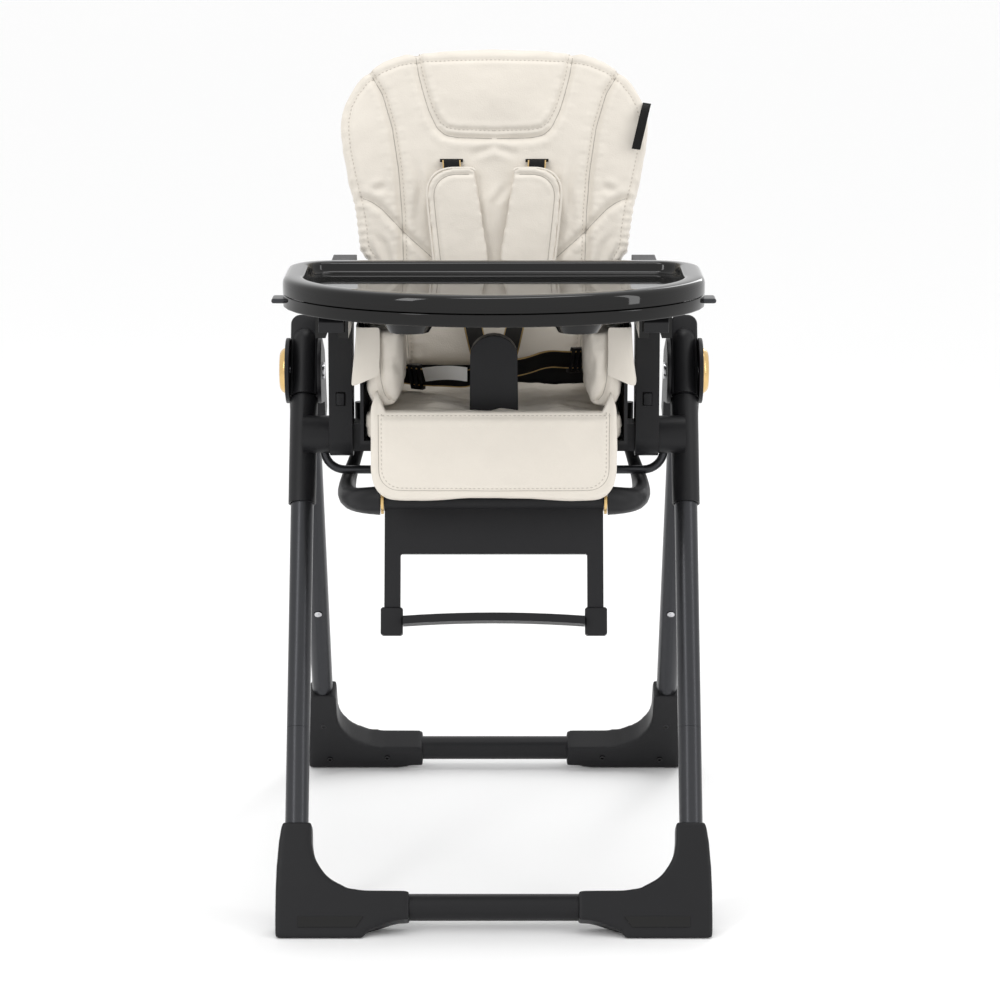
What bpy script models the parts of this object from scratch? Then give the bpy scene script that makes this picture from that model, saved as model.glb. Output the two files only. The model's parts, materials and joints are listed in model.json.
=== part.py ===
"""Folding baby high chair: an A-frame on two hubs, a seat that slides on the front legs, a reclining
backrest, a hinged calf rest with a sliding foot bar, and a tray with a lift-off cover.

Metres, +Z up. The chair faces -Y, and the origin is on the floor below the middle of its box.
"left" is the -X side and "right" the +X side, as seen from in front of the chair.
"""

import math

import bmesh
import bpy
from mathutils import Matrix, Vector

# ---------------------------------------------------------------- driving sizes
GAP = 0.0003  # between pieces that touch
RUN = 0.0006  # between pieces that move past each other

PIVOT_Z = 0.643  # fold axis above the floor
PIVOT_Y = -0.025
LEG_X = 0.243  # centre of each side's legs
FRONT_FOOT_Y = -0.355  # where the front legs' axes meet the floor
REAR_FOOT_Y = 0.392
REAR_LEG_OFFSET = 0.042  # of the rear legs' axes behind the fold axis
TUBE_R = 0.0145
TUBE_WALL = 0.0015

HUB_WIDTH = 0.035  # front housing and slider, across
HUB_HALF_DEPTH = 0.0215
HUB_TOP = 0.072  # front housing above the fold axis, along the leg
HUB_BOTTOM = 0.035
CHEEK = 0.0050  # rear housing's two cheeks
CHEEK_R = 0.042
SOCKET_R = 0.0200  # rear housing around its tube
SOCKET_START = 0.014
SOCKET_END = 0.112
CHEEK_END = 0.070  # where the cheeks stop short of the socket's end
AXLE_R = 0.0060
RING_R = 0.0290
RING_PROUD = 0.0075
FOLD_BUTTON_R = 0.0205
FOLD_BUTTON_PROUD = 0.0070

LEG_JOINT = 0.466  # along the front leg from the fold axis
FOOT_TOP = 0.587
REAR_FOOT_TOP = 0.612
SPIGOT = 0.030
FOOT_DEPTH = 0.040  # square to the leg
FOOT_OUTER = 0.0215  # foot's outer side from the leg's axis
FOOT_INNER_END = 0.107  # X where the foot's arm ends on the cross tube
CROSS_R = 0.0165
CROSS_Z = 0.029
INLAY_DEPTH = 0.0020
INLAY_RISE = 0.012
SNAP_R = 0.0050
SNAP_AT = 0.455  # along the rear leg from the fold axis
SNAP_PROUD = 0.0030

SLIDER_TOP = HUB_BOTTOM + 0.002
SLIDER_LENGTH = 0.140
SLIDER_R = HUB_WIDTH / 2
BOSS_AT = 0.090  # seat's cross tube, along the leg from the fold axis
BOSS_FORWARD = 0.016
BOSS_R = 0.024
SEAT_TUBE_R = 0.0125

FRAME_WIDTH = 0.030  # side frames, across
FRAME_TO_LEG = 0.035  # side frame's outer face from the leg's axis
TRAY_RISE = 0.114  # tray base above the fold axis; the other rises are too
RAIL_HEIGHT = 0.020
ARM_RISE = 0.139
SHELL_GAP = 0.015  # seat shell's side walls from the side frames
SHELL_WALL = 0.004
SHELL_FRONT_Y = -0.235
SHELL_BACK_Y = 0.052
PAN_LIFT = 0.016  # seat pan's underside above the cross tube's axis
WALL_RISE = 0.090
SEAT_PAD_T = 0.035
BOLSTER_T = 0.043
BOLSTER_RISE = 0.084
FLAP_T = 0.020
FLAP_DROP = 0.109
FLAP_RISE = 0.006  # the flap's top above the seat cushion's
POST_WIDTH = 0.060
POST_T = 0.024
POST_RISE = 0.075
POST_FRONT = 0.016  # post's front face behind the pan's front edge

BACK_PIVOT_Y = 0.036
BACK_PIVOT_RISE = -0.036
BACK_LEAN = math.radians(16.0)
BACK_LENGTH = 0.436
BACK_SHELL_T = 0.006
BACK_PAD_T = 0.030
BACK_PAD_START = 0.030
BARREL_R = 0.011
PIN_R = 0.0040
SHOULDER_X = 0.060
SHOULDER_LOW_X = 0.030
SHOULDER_OUTER = 0.0275  # pad's outer edge from its strap, at the top
SHOULDER_CENTRE_GAP = 0.0065  # pads' inner edges from the middle, at the bottom
SHOULDER_T = 0.011
SHOULDER_FROM = 0.130
SHOULDER_TO = 0.292
WEB_WIDTH = 0.024
WEB_T = 0.0020
HANDLE_WIDTH = 0.110

CALF_PIVOT_Y = -0.186
CALF_PIVOT_RISE = -0.137
CALF_LEAN = math.radians(20.0)
CALF_HALF_WIDTH = 0.136
CALF_BOARD = 0.067
CALF_RAIL = 0.166
CALF_RAIL_WIDTH = 0.020
CALF_T = 0.012
CALF_BARREL_R = 0.013
ARM_END_R = 0.018
CALF_RING = 0.0040
CLAMP_LENGTH = 0.034
CLAMP_WALL = 0.0030
FOOT_BAR_T = 0.010
FOOT_BAR_DEPTH = 0.034

TRAY_HALF_WIDTH = 0.256
TRAY_REAR_Y = -0.080
TRAY_RIM = 0.026
TRAY_SEAM = 0.0155  # above the tray base
TRAY_HEIGHT = 0.0370
TRAY_FLOOR = 0.0225
TRAY_FLOOR_T = 0.003
WELL_X = 0.100
WELL_R = 0.034
WELL_DROP = 0.016
LATCH_LENGTH = 0.034
LATCH_T = 0.006
LATCH_PROUD = 0.013

# ---------------------------------------------------------------- worked out
PIVOT = Vector((0.0, PIVOT_Y, PIVOT_Z))
AXIS_X = Vector((1.0, 0.0, 0.0))
FRONT_DOWN = (Vector((0.0, FRONT_FOOT_Y, 0.0)) - PIVOT).normalized()
FRONT_OUT = AXIS_X.cross(FRONT_DOWN)  # square to the front leg, towards the front
if FRONT_OUT.y > 0:
    FRONT_OUT = -FRONT_OUT
REAR_SPAN = Vector((0.0, REAR_FOOT_Y - PIVOT_Y, -PIVOT_Z))
REAR_ANGLE = math.atan2(REAR_SPAN.y, -REAR_SPAN.z) - math.asin(REAR_LEG_OFFSET / REAR_SPAN.length)
REAR_DOWN = Vector((0.0, math.sin(REAR_ANGLE), -math.cos(REAR_ANGLE)))
REAR_OUT = Vector((0.0, math.cos(REAR_ANGLE), math.sin(REAR_ANGLE)))  # towards the back
HALF_DEPTH = REAR_FOOT_Y + FOOT_DEPTH / 2 / math.cos(REAR_ANGLE)
TRAY_FRONT_Y = -HALF_DEPTH  # the tray reaches as far forward as the rear feet reach back
CHEEK_INNER = HUB_WIDTH / 2 + RUN  # cheek faces from the leg's axis
FRAME_OUTER = LEG_X - FRAME_TO_LEG
FRAME_INNER = FRAME_OUTER - FRAME_WIDTH
SHELL_HALF = FRAME_INNER - SHELL_GAP
BOSS = PIVOT + FRONT_DOWN * BOSS_AT + FRONT_OUT * BOSS_FORWARD
PAN_Z = BOSS.z + PAN_LIFT
TRAY_BASE_Z = PIVOT_Z + TRAY_RISE
TRAY_SEAM_Z = TRAY_BASE_Z + TRAY_SEAM
TRAY_TOP_Z = TRAY_BASE_Z + TRAY_HEIGHT
TRAY_FLOOR_Z = TRAY_BASE_Z + TRAY_FLOOR
ARM_TOP_Z = PIVOT_Z + ARM_RISE
WALL_TOP_Z = PIVOT_Z + WALL_RISE
BOLSTER_TOP_Z = PIVOT_Z + BOLSTER_RISE
POST_TOP_Z = PIVOT_Z + POST_RISE
BACK_PIVOT_Z = PIVOT_Z + BACK_PIVOT_RISE
CALF_PIVOT_Z = PIVOT_Z + CALF_PIVOT_RISE
BACK_UP = Vector((0.0, math.sin(BACK_LEAN), math.cos(BACK_LEAN)))
BACK_OUT = Vector((0.0, -math.cos(BACK_LEAN), math.sin(BACK_LEAN)))  # towards the child
BACK_PIVOT = Vector((0.0, BACK_PIVOT_Y, BACK_PIVOT_Z))
CALF_DOWN = Vector((0.0, -math.sin(CALF_LEAN), -math.cos(CALF_LEAN)))
CALF_OUT = Vector((0.0, -math.cos(CALF_LEAN), math.sin(CALF_LEAN)))
CALF_PIVOT = Vector((0.0, CALF_PIVOT_Y, CALF_PIVOT_Z))

ROUND = 24  # sides of a round piece
TUBE_SIDES = 20


# ---------------------------------------------------------------- scene and materials
def clear_scene():
    for obj in list(bpy.data.objects):
        bpy.data.objects.remove(obj, do_unlink=True)


def new_collection(name):
    collection = bpy.data.collections.new(name)
    bpy.context.scene.collection.children.link(collection)
    return collection


def finish(name, colour, roughness, metallic=0.0):
    material = bpy.data.materials.new(name)
    material.use_nodes = True
    shader = material.node_tree.nodes["Principled BSDF"]
    shader.inputs["Base Color"].default_value = (*colour, 1.0)
    shader.inputs["Roughness"].default_value = roughness
    shader.inputs["Metallic"].default_value = metallic
    return material


clear_scene()
CHAIR = new_collection("baby_high_chair")
CUTTERS = new_collection("cutters")
CUTTERS.hide_render = True
BLACK = finish("black_plastic", (0.030, 0.030, 0.033), 0.45)
GLOSS = finish("gloss_black", (0.012, 0.012, 0.013), 0.12)
GRAPHITE = finish("graphite_paint", (0.060, 0.061, 0.066), 0.30, 0.6)
GOLD = finish("gold_trim", (0.70, 0.50, 0.22), 0.28, 1.0)
CREAM = finish("cream_leather", (0.80, 0.75, 0.68), 0.50)
WEB = finish("black_webbing", (0.020, 0.019, 0.018), 0.75)
STEEL = finish("steel", (0.62, 0.62, 0.64), 0.25, 1.0)


# ---------------------------------------------------------------- shapes
def place(bm, name, material):
    """A new object of the collection from a bmesh."""
    mesh = bpy.data.meshes.new(name)
    bm.to_mesh(mesh)
    bm.free()
    mesh.materials.append(material)
    obj = bpy.data.objects.new(name, mesh)
    CHAIR.objects.link(obj)
    return obj


def frame_of(origin, along_u, along_v):
    """The matrix of a flat outline's own axes: u, v, and w square to both."""
    along_w = along_u.cross(along_v)
    turn = Matrix((along_u, along_v, along_w)).transposed().to_4x4()
    return Matrix.Translation(origin) @ turn


def towards(start, end):
    """The matrix that carries +Z to the direction from start to end, at their middle."""
    middle = (start + end) / 2
    return Matrix.Translation(middle) @ (end - start).to_track_quat("Z", "Y").to_matrix().to_4x4()


def box(name, low, high, material=None):
    bm = bmesh.new()
    bmesh.ops.create_cube(bm, size=1.0)
    low, high = Vector(low), Vector(high)
    bmesh.ops.scale(bm, vec=high - low, verts=bm.verts)
    bmesh.ops.translate(bm, vec=(low + high) / 2, verts=bm.verts)
    return place(bm, name, material or BLACK)


def rod(name, start, end, radius, material=None, sides=ROUND, end_radius=None):
    bm = bmesh.new()
    start, end = Vector(start), Vector(end)
    bmesh.ops.create_cone(
        bm, cap_ends=True, segments=sides, radius1=radius,
        radius2=radius if end_radius is None else end_radius, depth=(end - start).length)
    bm.transform(towards(start, end))
    return place(bm, name, material or BLACK)


def turned(name, profile, start, direction, material, sides=ROUND):
    """A closed profile of (radius, height) points, turned about the line from start along direction."""
    bm = bmesh.new()
    corners = [bm.verts.new((radius, 0.0, height)) for radius, height in profile]
    edges = [bm.edges.new((a, b)) for a, b in zip(corners, corners[1:] + corners[:1])]
    bmesh.ops.spin(
        bm, geom=corners + edges, cent=(0, 0, 0), axis=(0, 0, 1), angle=math.tau, steps=sides,
        use_merge=True, use_duplicate=False)
    bmesh.ops.remove_doubles(bm, verts=bm.verts, dist=1e-6)
    bmesh.ops.recalc_face_normals(bm, faces=bm.faces)
    turn = Vector(direction).to_track_quat("Z", "Y").to_matrix().to_4x4()
    bm.transform(Matrix.Translation(Vector(start)) @ turn)
    return place(bm, name, material)


def pipe(name, start, end, outer, inner, material, sides=TUBE_SIDES):
    start, end = Vector(start), Vector(end)
    length = (end - start).length
    profile = [(outer, length), (outer, 0.0), (inner, 0.0), (inner, length)]
    return turned(name, profile, start, end - start, material, sides)


def plate(name, outline, thickness, matrix, material=None):
    """A flat outline of (u, v) points as a filled 2D curve, extruded both ways and made a mesh."""
    curve = bpy.data.curves.new(name, "CURVE")
    curve.dimensions = "2D"
    curve.fill_mode = "BOTH"
    curve.extrude = thickness / 2
    spline = curve.splines.new("POLY")
    spline.points.add(len(outline) - 1)
    for point, (u, v) in zip(spline.points, outline):
        point.co = (u, v, 0.0, 1.0)
    spline.use_cyclic_u = True
    return as_mesh(curve, name, matrix, material or BLACK)


def as_mesh(curve, name, matrix, material):
    holder = bpy.data.objects.new(name + "_curve", curve)
    CHAIR.objects.link(holder)
    graph = bpy.context.evaluated_depsgraph_get()
    mesh = bpy.data.meshes.new_from_object(holder.evaluated_get(graph))
    bpy.data.objects.remove(holder, do_unlink=True)
    bm = bmesh.new()
    bm.from_mesh(mesh)
    bmesh.ops.remove_doubles(bm, verts=bm.verts, dist=1e-6)
    bmesh.ops.recalc_face_normals(bm, faces=bm.faces)
    bm.transform(matrix)
    bpy.data.meshes.remove(mesh)
    return place(bm, name, material)


def swept(name, points, radii, material, rings=3):
    """A round bar along a list of points, its radius given at each."""
    curve = bpy.data.curves.new(name, "CURVE")
    curve.dimensions = "3D"
    curve.bevel_depth = 1.0
    curve.bevel_resolution = rings
    curve.use_fill_caps = True
    spline = curve.splines.new("POLY")
    spline.points.add(len(points) - 1)
    for point, place_at, radius in zip(spline.points, points, radii):
        point.co = (*place_at, 1.0)
        point.radius = radius
    return as_mesh(curve, name, Matrix.Identity(4), material)


def lofted(name, points, radii, material, sides=16):
    """A round bar skinned over rings that stand square to its path."""
    bm = bmesh.new()
    rings = []
    for k, (place_at, radius) in enumerate(zip(points, radii)):
        ahead, behind = points[min(k + 1, len(points) - 1)], points[max(k - 1, 0)]
        along = (ahead - behind).normalized() if k < len(points) - 1 else -AXIS_X
        first = along.cross(Vector((0.6, -0.8, 0.6)).normalized()).normalized()
        second = along.cross(first)
        turns = [math.tau * j / sides for j in range(sides)]
        rings.append([bm.verts.new(place_at + (first * math.cos(a) + second * math.sin(a)) * radius)
                      for a in turns])
    for one, two in zip(rings, rings[1:]):
        for j in range(sides):
            i = (j + 1) % sides
            bm.faces.new((one[j], one[i], two[i], two[j]))
    bm.faces.new(rings[0][::-1])
    bm.faces.new(rings[-1])
    bmesh.ops.recalc_face_normals(bm, faces=bm.faces)
    return place(bm, name, material)


def ribbon(name, centres, across, width, thickness, material):
    """A flat strap: a grid laid along its centres, then thickened evenly."""
    bm = bmesh.new()
    bmesh.ops.create_grid(bm, x_segments=1, y_segments=len(centres) - 1, size=0.5)
    step = 1.0 / (len(centres) - 1)
    for vert in bm.verts:
        row = round((vert.co.y + 0.5) / step)
        side = 1.0 if vert.co.x > 0 else -1.0
        vert.co = Vector(centres[row]) + Vector(across) * side * width / 2
    strap = place(bm, name, material)
    solid = strap.modifiers.new("thickness", "SOLIDIFY")
    solid.thickness = thickness
    solid.offset = 0.0
    return bake(strap)


def bake(obj):
    """Replaces the object's mesh by its evaluated one, in world space."""
    bpy.context.view_layer.update()
    graph = bpy.context.evaluated_depsgraph_get()
    mesh = bpy.data.meshes.new_from_object(obj.evaluated_get(graph))
    mesh.transform(obj.matrix_world)
    obj.modifiers.clear()
    obj.matrix_world = Matrix.Identity(4)
    obj.data = mesh
    return obj


def boolean(obj, others, operation):
    """Cuts or joins with each of the others, which become hidden helpers."""
    for other in others:
        step = obj.modifiers.new(operation.lower(), "BOOLEAN")
        step.operation = operation
        step.object = other
        step.solver = "EXACT"
        bake(obj)
        CHAIR.objects.unlink(other)
        CUTTERS.objects.link(other)
        other.hide_render = True
        other.display_type = "WIRE"
    return obj


def cut(obj, *others):
    return boolean(obj, others, "DIFFERENCE")


def join(obj, *others):
    return boolean(obj, others, "UNION")


def soften(obj, width, segments=2, angle=40.0):
    bevel = obj.modifiers.new("edges", "BEVEL")
    bevel.width = width
    bevel.segments = segments
    bevel.limit_method = "ANGLE"
    bevel.angle_limit = math.radians(angle)
    return bake(obj)


def other_side(obj, name):
    """A mirrored copy on the other side of the chair."""
    bm = bmesh.new()
    bm.from_mesh(obj.data)
    bm.transform(Matrix.Scale(-1.0, 4, AXIS_X))
    bmesh.ops.reverse_faces(bm, faces=bm.faces)
    return place(bm, name, obj.data.materials[0])


def both_sides(build, stem):
    """Builds a piece on the right, at +X, and its mirror image on the left."""
    right = build(stem + "_right")
    other_side(right, stem + "_left")


# ---------------------------------------------------------------- outlines
def arc(centre, radius, first, last, count, radius_v=None):
    """Points on an arc or a stretch of an ellipse, between two angles in degrees."""
    tall = radius if radius_v is None else radius_v
    angles = [math.radians(first + (last - first) * k / count) for k in range(count + 1)]
    return [(centre[0] + radius * math.cos(a), centre[1] + tall * math.sin(a)) for a in angles]


def hull(points):
    """The convex outline around points, anticlockwise."""
    def half(ordered):
        kept = []
        for p in ordered:
            while len(kept) > 1 and turn(kept[-2], kept[-1], p) <= 0:
                kept.pop()
            kept.append(p)
        return kept[:-1]

    def turn(a, b, c):
        return (b[0] - a[0]) * (c[1] - a[1]) - (b[1] - a[1]) * (c[0] - a[0])

    ordered = sorted(points)
    return half(ordered) + half(ordered[::-1])


def ease(start, end, count):
    """An S-shaped step between two points, level at both ends."""
    found = []
    for k in range(count + 1):
        t = k / count
        found.append((start[0] + (end[0] - start[0]) * t,
                      start[1] + (end[1] - start[1]) * t * t * (3 - 2 * t)))
    return found


def on_side(x):
    """Axes for an outline given as (y, z) in a plane across X."""
    return frame_of(Vector((x, 0, 0)), Vector((0, 1, 0)), Vector((0, 0, 1)))


def level(z):
    """Axes for an outline given as (x, y) at a height."""
    return frame_of(Vector((0, 0, z)), AXIS_X, Vector((0, 1, 0)))


def front_point(along, out=0.0, x=LEG_X):
    return PIVOT + FRONT_DOWN * along + FRONT_OUT * out + AXIS_X * x


def rear_point(along, out=REAR_LEG_OFFSET, x=LEG_X):
    return PIVOT + REAR_DOWN * along + REAR_OUT * out + AXIS_X * x


def back_point(along, out=0.0, x=0.0):
    return BACK_PIVOT + BACK_UP * along + BACK_OUT * out + AXIS_X * x


def calf_point(along, out=0.0, x=0.0):
    return CALF_PIVOT + CALF_DOWN * along + CALF_OUT * out + AXIS_X * x


# ---------------------------------------------------------------- front frame
def front_hub(name):
    """The front leg's top housing: a round-topped block with a socket for the tube."""
    top = HUB_TOP - HUB_HALF_DEPTH
    outline = [(HUB_BOTTOM, -HUB_HALF_DEPTH), (HUB_BOTTOM, HUB_HALF_DEPTH)]
    outline += arc((-top, 0.0), HUB_HALF_DEPTH, 90, 270, 10)
    matrix = frame_of(front_point(0), FRONT_DOWN, FRONT_OUT)
    housing = soften(plate(name, outline, HUB_WIDTH, matrix), 0.005)
    socket = rod("socket", front_point(AXLE_R + 0.008), front_point(HUB_BOTTOM + 0.01), TUBE_R + GAP)
    bore = rod("axle_bore", front_point(0, x=LEG_X - HUB_WIDTH), front_point(0, x=LEG_X + HUB_WIDTH),
               AXLE_R + GAP)
    return cut(housing, socket, bore)


def hub_axle(name):
    """The fold axle: a shouldered pin with a head inside the chair and a seat for the ring outside."""
    reach = CHEEK_INNER + CHEEK
    profile = [(0.0, 0.0), (0.0, -2 * reach - 0.003), (0.011, -2 * reach - 0.003),
               (0.011, -2 * reach - GAP), (AXLE_R, -2 * reach - GAP), (AXLE_R, 0.0)]
    return turned(name, profile, (LEG_X + reach, PIVOT_Y, PIVOT_Z), AXIS_X, STEEL, TUBE_SIDES)


def hub_ring(name):
    """The gold ring outside the hub, open in the middle for the fold button."""
    face = LEG_X + CHEEK_INNER + CHEEK + GAP
    profile = [(RING_R, 0.0), (RING_R, 0.0035), (RING_R - 0.003, RING_PROUD),
               (FOLD_BUTTON_R + RUN + 0.0012, RING_PROUD), (FOLD_BUTTON_R + RUN, RING_PROUD - 0.0015),
               (FOLD_BUTTON_R + RUN, 0.0)]
    return turned(name, profile, (face, PIVOT_Y, PIVOT_Z), AXIS_X, GOLD, 32)


def fold_button(name):
    """The round button inside the ring; it presses in towards the hub."""
    rest = LEG_X + CHEEK_INNER + CHEEK + GAP + FOLD_BUTTON_PROUD - 0.0035
    profile = [(0.0, 0.0), (FOLD_BUTTON_R, 0.0), (FOLD_BUTTON_R, 0.0030),
               (FOLD_BUTTON_R * 0.75, 0.0042), (0.0, 0.0048)]
    return turned(name, profile, (rest, PIVOT_Y, PIVOT_Z), AXIS_X, BLACK, 28)


def front_leg_upper(name):
    start = front_point(AXLE_R + 0.0085)
    return pipe(name, start, front_point(LEG_JOINT), TUBE_R, TUBE_R - TUBE_WALL, GRAPHITE)


def front_leg_lower(name):
    """The lower tube, with a spigot that plugs into the upper one."""
    inner = TUBE_R - 2 * TUBE_WALL - 2 * GAP
    spigot_r = TUBE_R - TUBE_WALL - GAP
    end = (PIVOT_Z - 0.020) / -FRONT_DOWN.z - LEG_JOINT
    profile = [(TUBE_R, GAP), (TUBE_R, end), (inner, end), (inner, -SPIGOT), (spigot_r, -SPIGOT),
               (spigot_r, GAP)]
    return turned(name, profile, front_point(LEG_JOINT), FRONT_DOWN, GRAPHITE, TUBE_SIDES)


def foot_outline(top, floor, cross):
    """Half a foot as (x, distance along the leg): a sleeve that sweeps round into a level arm."""
    inner = LEG_X - 0.0215
    arm_top = cross - CROSS_R - 0.003
    arm_bottom = cross + CROSS_R + 0.0025
    sweep = 0.060
    outline = [(LEG_X + 0.0145, top), (LEG_X + 0.018, top + 0.030)]
    outline += [(LEG_X + FOOT_OUTER, top + 0.075), (LEG_X + FOOT_OUTER - 0.002, floor + 0.02)]
    outline += [(LEG_X - 0.080, floor + 0.02)]
    outline += ease((LEG_X - 0.086, floor - 0.001), (FOOT_INNER_END + 0.012, arm_bottom), 6)
    outline += [(FOOT_INNER_END, arm_bottom), (FOOT_INNER_END, arm_top)]
    outline += arc((inner - sweep, arm_top - sweep), sweep, 90, 0, 8)
    outline += [(inner, top)]
    return outline


def foot(name, top, down, out, foot_y, point):
    """One foot: a leaning plate cut flat on the floor, with sockets for the leg and the cross tube."""
    floor = (Vector((0, foot_y, 0)) - point(0, x=0.0)).dot(down)
    cross = floor - CROSS_Z / -down.z
    matrix = frame_of(point(0, x=0.0), AXIS_X, down)
    body = plate(name, foot_outline(top, floor, cross), FOOT_DEPTH, matrix)
    below = box("floor", (-1, -1, -0.5), (1, 1, 0.0))
    cut(body, below)
    soften(body, 0.006)
    centre = point(cross, x=0.0)
    leg_socket = rod("leg_socket", point(top - 0.02), point(cross + 0.020), TUBE_R + GAP)
    arm_socket = rod("arm_socket", centre + AXIS_X * (FOOT_INNER_END - 0.02),
                     centre + AXIS_X * (LEG_X - TUBE_R - 0.012), CROSS_R + GAP)
    return cut(body, leg_socket, arm_socket)


def front_foot(name):
    """The front foot, with a shallow recess in its face for the inlay."""
    body = foot(name, FOOT_TOP, FRONT_DOWN, FRONT_OUT, FRONT_FOOT_Y, front_point)
    return cut(body, inlay("recess", GAP))


def inlay(name, grow=0.0):
    """A long inlay with one slanted end, set into the foot's leaning face."""
    centre = front_point(FRONT_FLOOR - INLAY_RISE, FOOT_DEPTH / 2, LEG_X - 0.044)
    half, high = 0.040 + grow, 0.0065 + grow
    outline = [(half, -high), (half, high), (-half + 0.009, high), (-half, -high)]
    matrix = frame_of(centre, AXIS_X, FRONT_DOWN)
    return plate(name, outline, 2 * (INLAY_DEPTH + grow), matrix, GLOSS)


def front_foot_inlay(name):
    """The inlay, trimmed flush with the foot's face."""
    piece = inlay(name)
    low = front_point(FRONT_FLOOR - INLAY_RISE, FOOT_DEPTH / 2 + 0.0006 + 0.01, LEG_X - 0.044)
    trim = plate("trim", [(-0.06, -0.03), (0.06, -0.03), (0.06, 0.03), (-0.06, 0.03)], 0.02,
                 frame_of(low, AXIS_X, FRONT_DOWN))
    return cut(piece, trim)


def cross_tube(name, point, down, foot_y):
    floor = (Vector((0, foot_y, 0)) - point(0, x=0.0)).dot(down)
    centre = point(floor - CROSS_Z / -down.z, x=0.0)
    reach = AXIS_X * (LEG_X - TUBE_R - 0.013)
    return pipe(name, centre - reach, centre + reach, CROSS_R, CROSS_R - TUBE_WALL, GRAPHITE)


FRONT_FLOOR = (Vector((0, FRONT_FOOT_Y, 0)) - PIVOT).dot(FRONT_DOWN)
REAR_FLOOR = (Vector((0, REAR_FOOT_Y, 0)) - PIVOT).dot(REAR_DOWN)


def front_frame():
    both_sides(front_hub, "front_hub")
    both_sides(hub_axle, "hub_axle")
    both_sides(hub_ring, "hub_ring")
    both_sides(fold_button, "fold_button")
    both_sides(front_leg_upper, "front_leg_upper")
    both_sides(front_leg_lower, "front_leg_lower")
    both_sides(front_foot, "front_foot")
    both_sides(front_foot_inlay, "front_foot_inlay")
    cross_tube("front_cross_tube", front_point, FRONT_DOWN, FRONT_FOOT_Y)


# ---------------------------------------------------------------- rear frame
def rear_hub(name):
    """The rear leg's top housing: two cheeks round the front housing, and a socket behind them."""
    low, high = REAR_LEG_OFFSET - SOCKET_R, REAR_LEG_OFFSET + SOCKET_R
    disc = arc((0.0, 0.0), CHEEK_R, 0, 360, ROUND)[:-1]
    outline = []
    for point in hull(disc + [(SOCKET_START, high), (CHEEK_END, high), (CHEEK_END, low)]):
        if point != (CHEEK_END, high):
            outline.append(point)
        if point == (CHEEK_END, low):
            outline += [(SOCKET_END, low), (SOCKET_END, high)]
    matrix = frame_of(rear_point(0, 0.0), REAR_DOWN, REAR_OUT)
    housing = soften(plate(name, outline, 2 * (CHEEK_INNER + CHEEK), matrix), 0.003)
    start, edge, far = SOCKET_START, low + GAP, 0.2
    slot = plate("slot", [(-far, -far), (far, -far), (far, edge), (start, edge), (start, far),
                          (-far, far)], 2 * CHEEK_INNER, matrix)
    socket = rod("socket", rear_point(SOCKET_START + 0.010), rear_point(SOCKET_END + 0.02),
                 TUBE_R + GAP)
    bore = rod("axle_bore", rear_point(0, 0.0, LEG_X - 0.05), rear_point(0, 0.0, LEG_X + 0.05),
               AXLE_R + RUN)
    return cut(housing, slot, socket, bore)


def rear_leg(name):
    """The rear tube, with a hole in its front for the snap button."""
    end = rear_point(REAR_FLOOR - 0.020 / math.cos(REAR_ANGLE))
    tube = pipe(name, rear_point(SOCKET_START + 0.0105), end, TUBE_R, TUBE_R - TUBE_WALL, GRAPHITE)
    hole = rod("snap_hole", rear_point(SNAP_AT), rear_point(SNAP_AT, REAR_LEG_OFFSET - 0.03),
               SNAP_R + RUN)
    return cut(tube, hole)


def snap_button(name):
    """The sprung button that locks the leg's two lengths; it presses in towards the tube's axis."""
    base = rear_point(SNAP_AT, REAR_LEG_OFFSET - TUBE_R + 0.006)
    length = 0.006 + SNAP_PROUD
    profile = [(0.0, 0.0), (SNAP_R, 0.0), (SNAP_R, length - 0.002), (SNAP_R * 0.6, length - 0.0005),
               (0.0, length)]
    return turned(name, profile, base, -REAR_OUT, STEEL, 16)


def rear_foot(name):
    return foot(name, REAR_FOOT_TOP, REAR_DOWN, REAR_OUT, REAR_FOOT_Y, rear_point)


def rear_frame():
    both_sides(rear_hub, "rear_hub")
    both_sides(rear_leg, "rear_leg")
    both_sides(snap_button, "snap_button")
    both_sides(rear_foot, "rear_foot")
    cross_tube("rear_cross_tube", rear_point, REAR_DOWN, REAR_FOOT_Y)


# ---------------------------------------------------------------- seat carriage
def slider(name):
    """The sleeve that runs on the front leg, with a round boss for the seat's cross tube."""
    end = SLIDER_TOP + SLIDER_LENGTH
    sleeve = rod(name, front_point(SLIDER_TOP), front_point(end), SLIDER_R)
    boss = rod("boss", BOSS + AXIS_X * (FRAME_OUTER + GAP), BOSS + AXIS_X * (LEG_X - 0.001), BOSS_R)
    join(sleeve, boss)
    bore = rod("bore", front_point(0), front_point(end + 0.05), TUBE_R + RUN)
    socket = rod("socket", BOSS + AXIS_X * (FRAME_OUTER - 0.01), BOSS + AXIS_X * SEAT_TUBE_END,
                 SEAT_TUBE_R + GAP)
    return cut(sleeve, bore, socket, tie_rod("rod_hole", ROD_R + GAP, 0.003))


SEAT_TUBE_END = LEG_X - TUBE_R - 0.0045
ROD_R = 0.0055
ROD_Z = BOSS.z - BOSS_R - 0.0215
ROD_TOP_X = FRAME_OUTER + 0.0075


def tie_rod(name, radius=ROD_R, deeper=0.0):
    """The bent bar under the seat; its ends turn up into the slider bosses."""
    bend = 0.026
    top = BOSS.z - BOSS_R + 0.006 + deeper
    half = [(ROD_TOP_X, top)]
    half += arc((ROD_TOP_X - bend, ROD_Z + bend), bend, 0, -90, 8)
    points = [Vector((x, BOSS.y, z)) for x, z in half]
    points += [Vector((-p.x, p.y, p.z)) for p in reversed(points)]
    return swept(name, points, [radius] * len(points), GRAPHITE)


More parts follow.
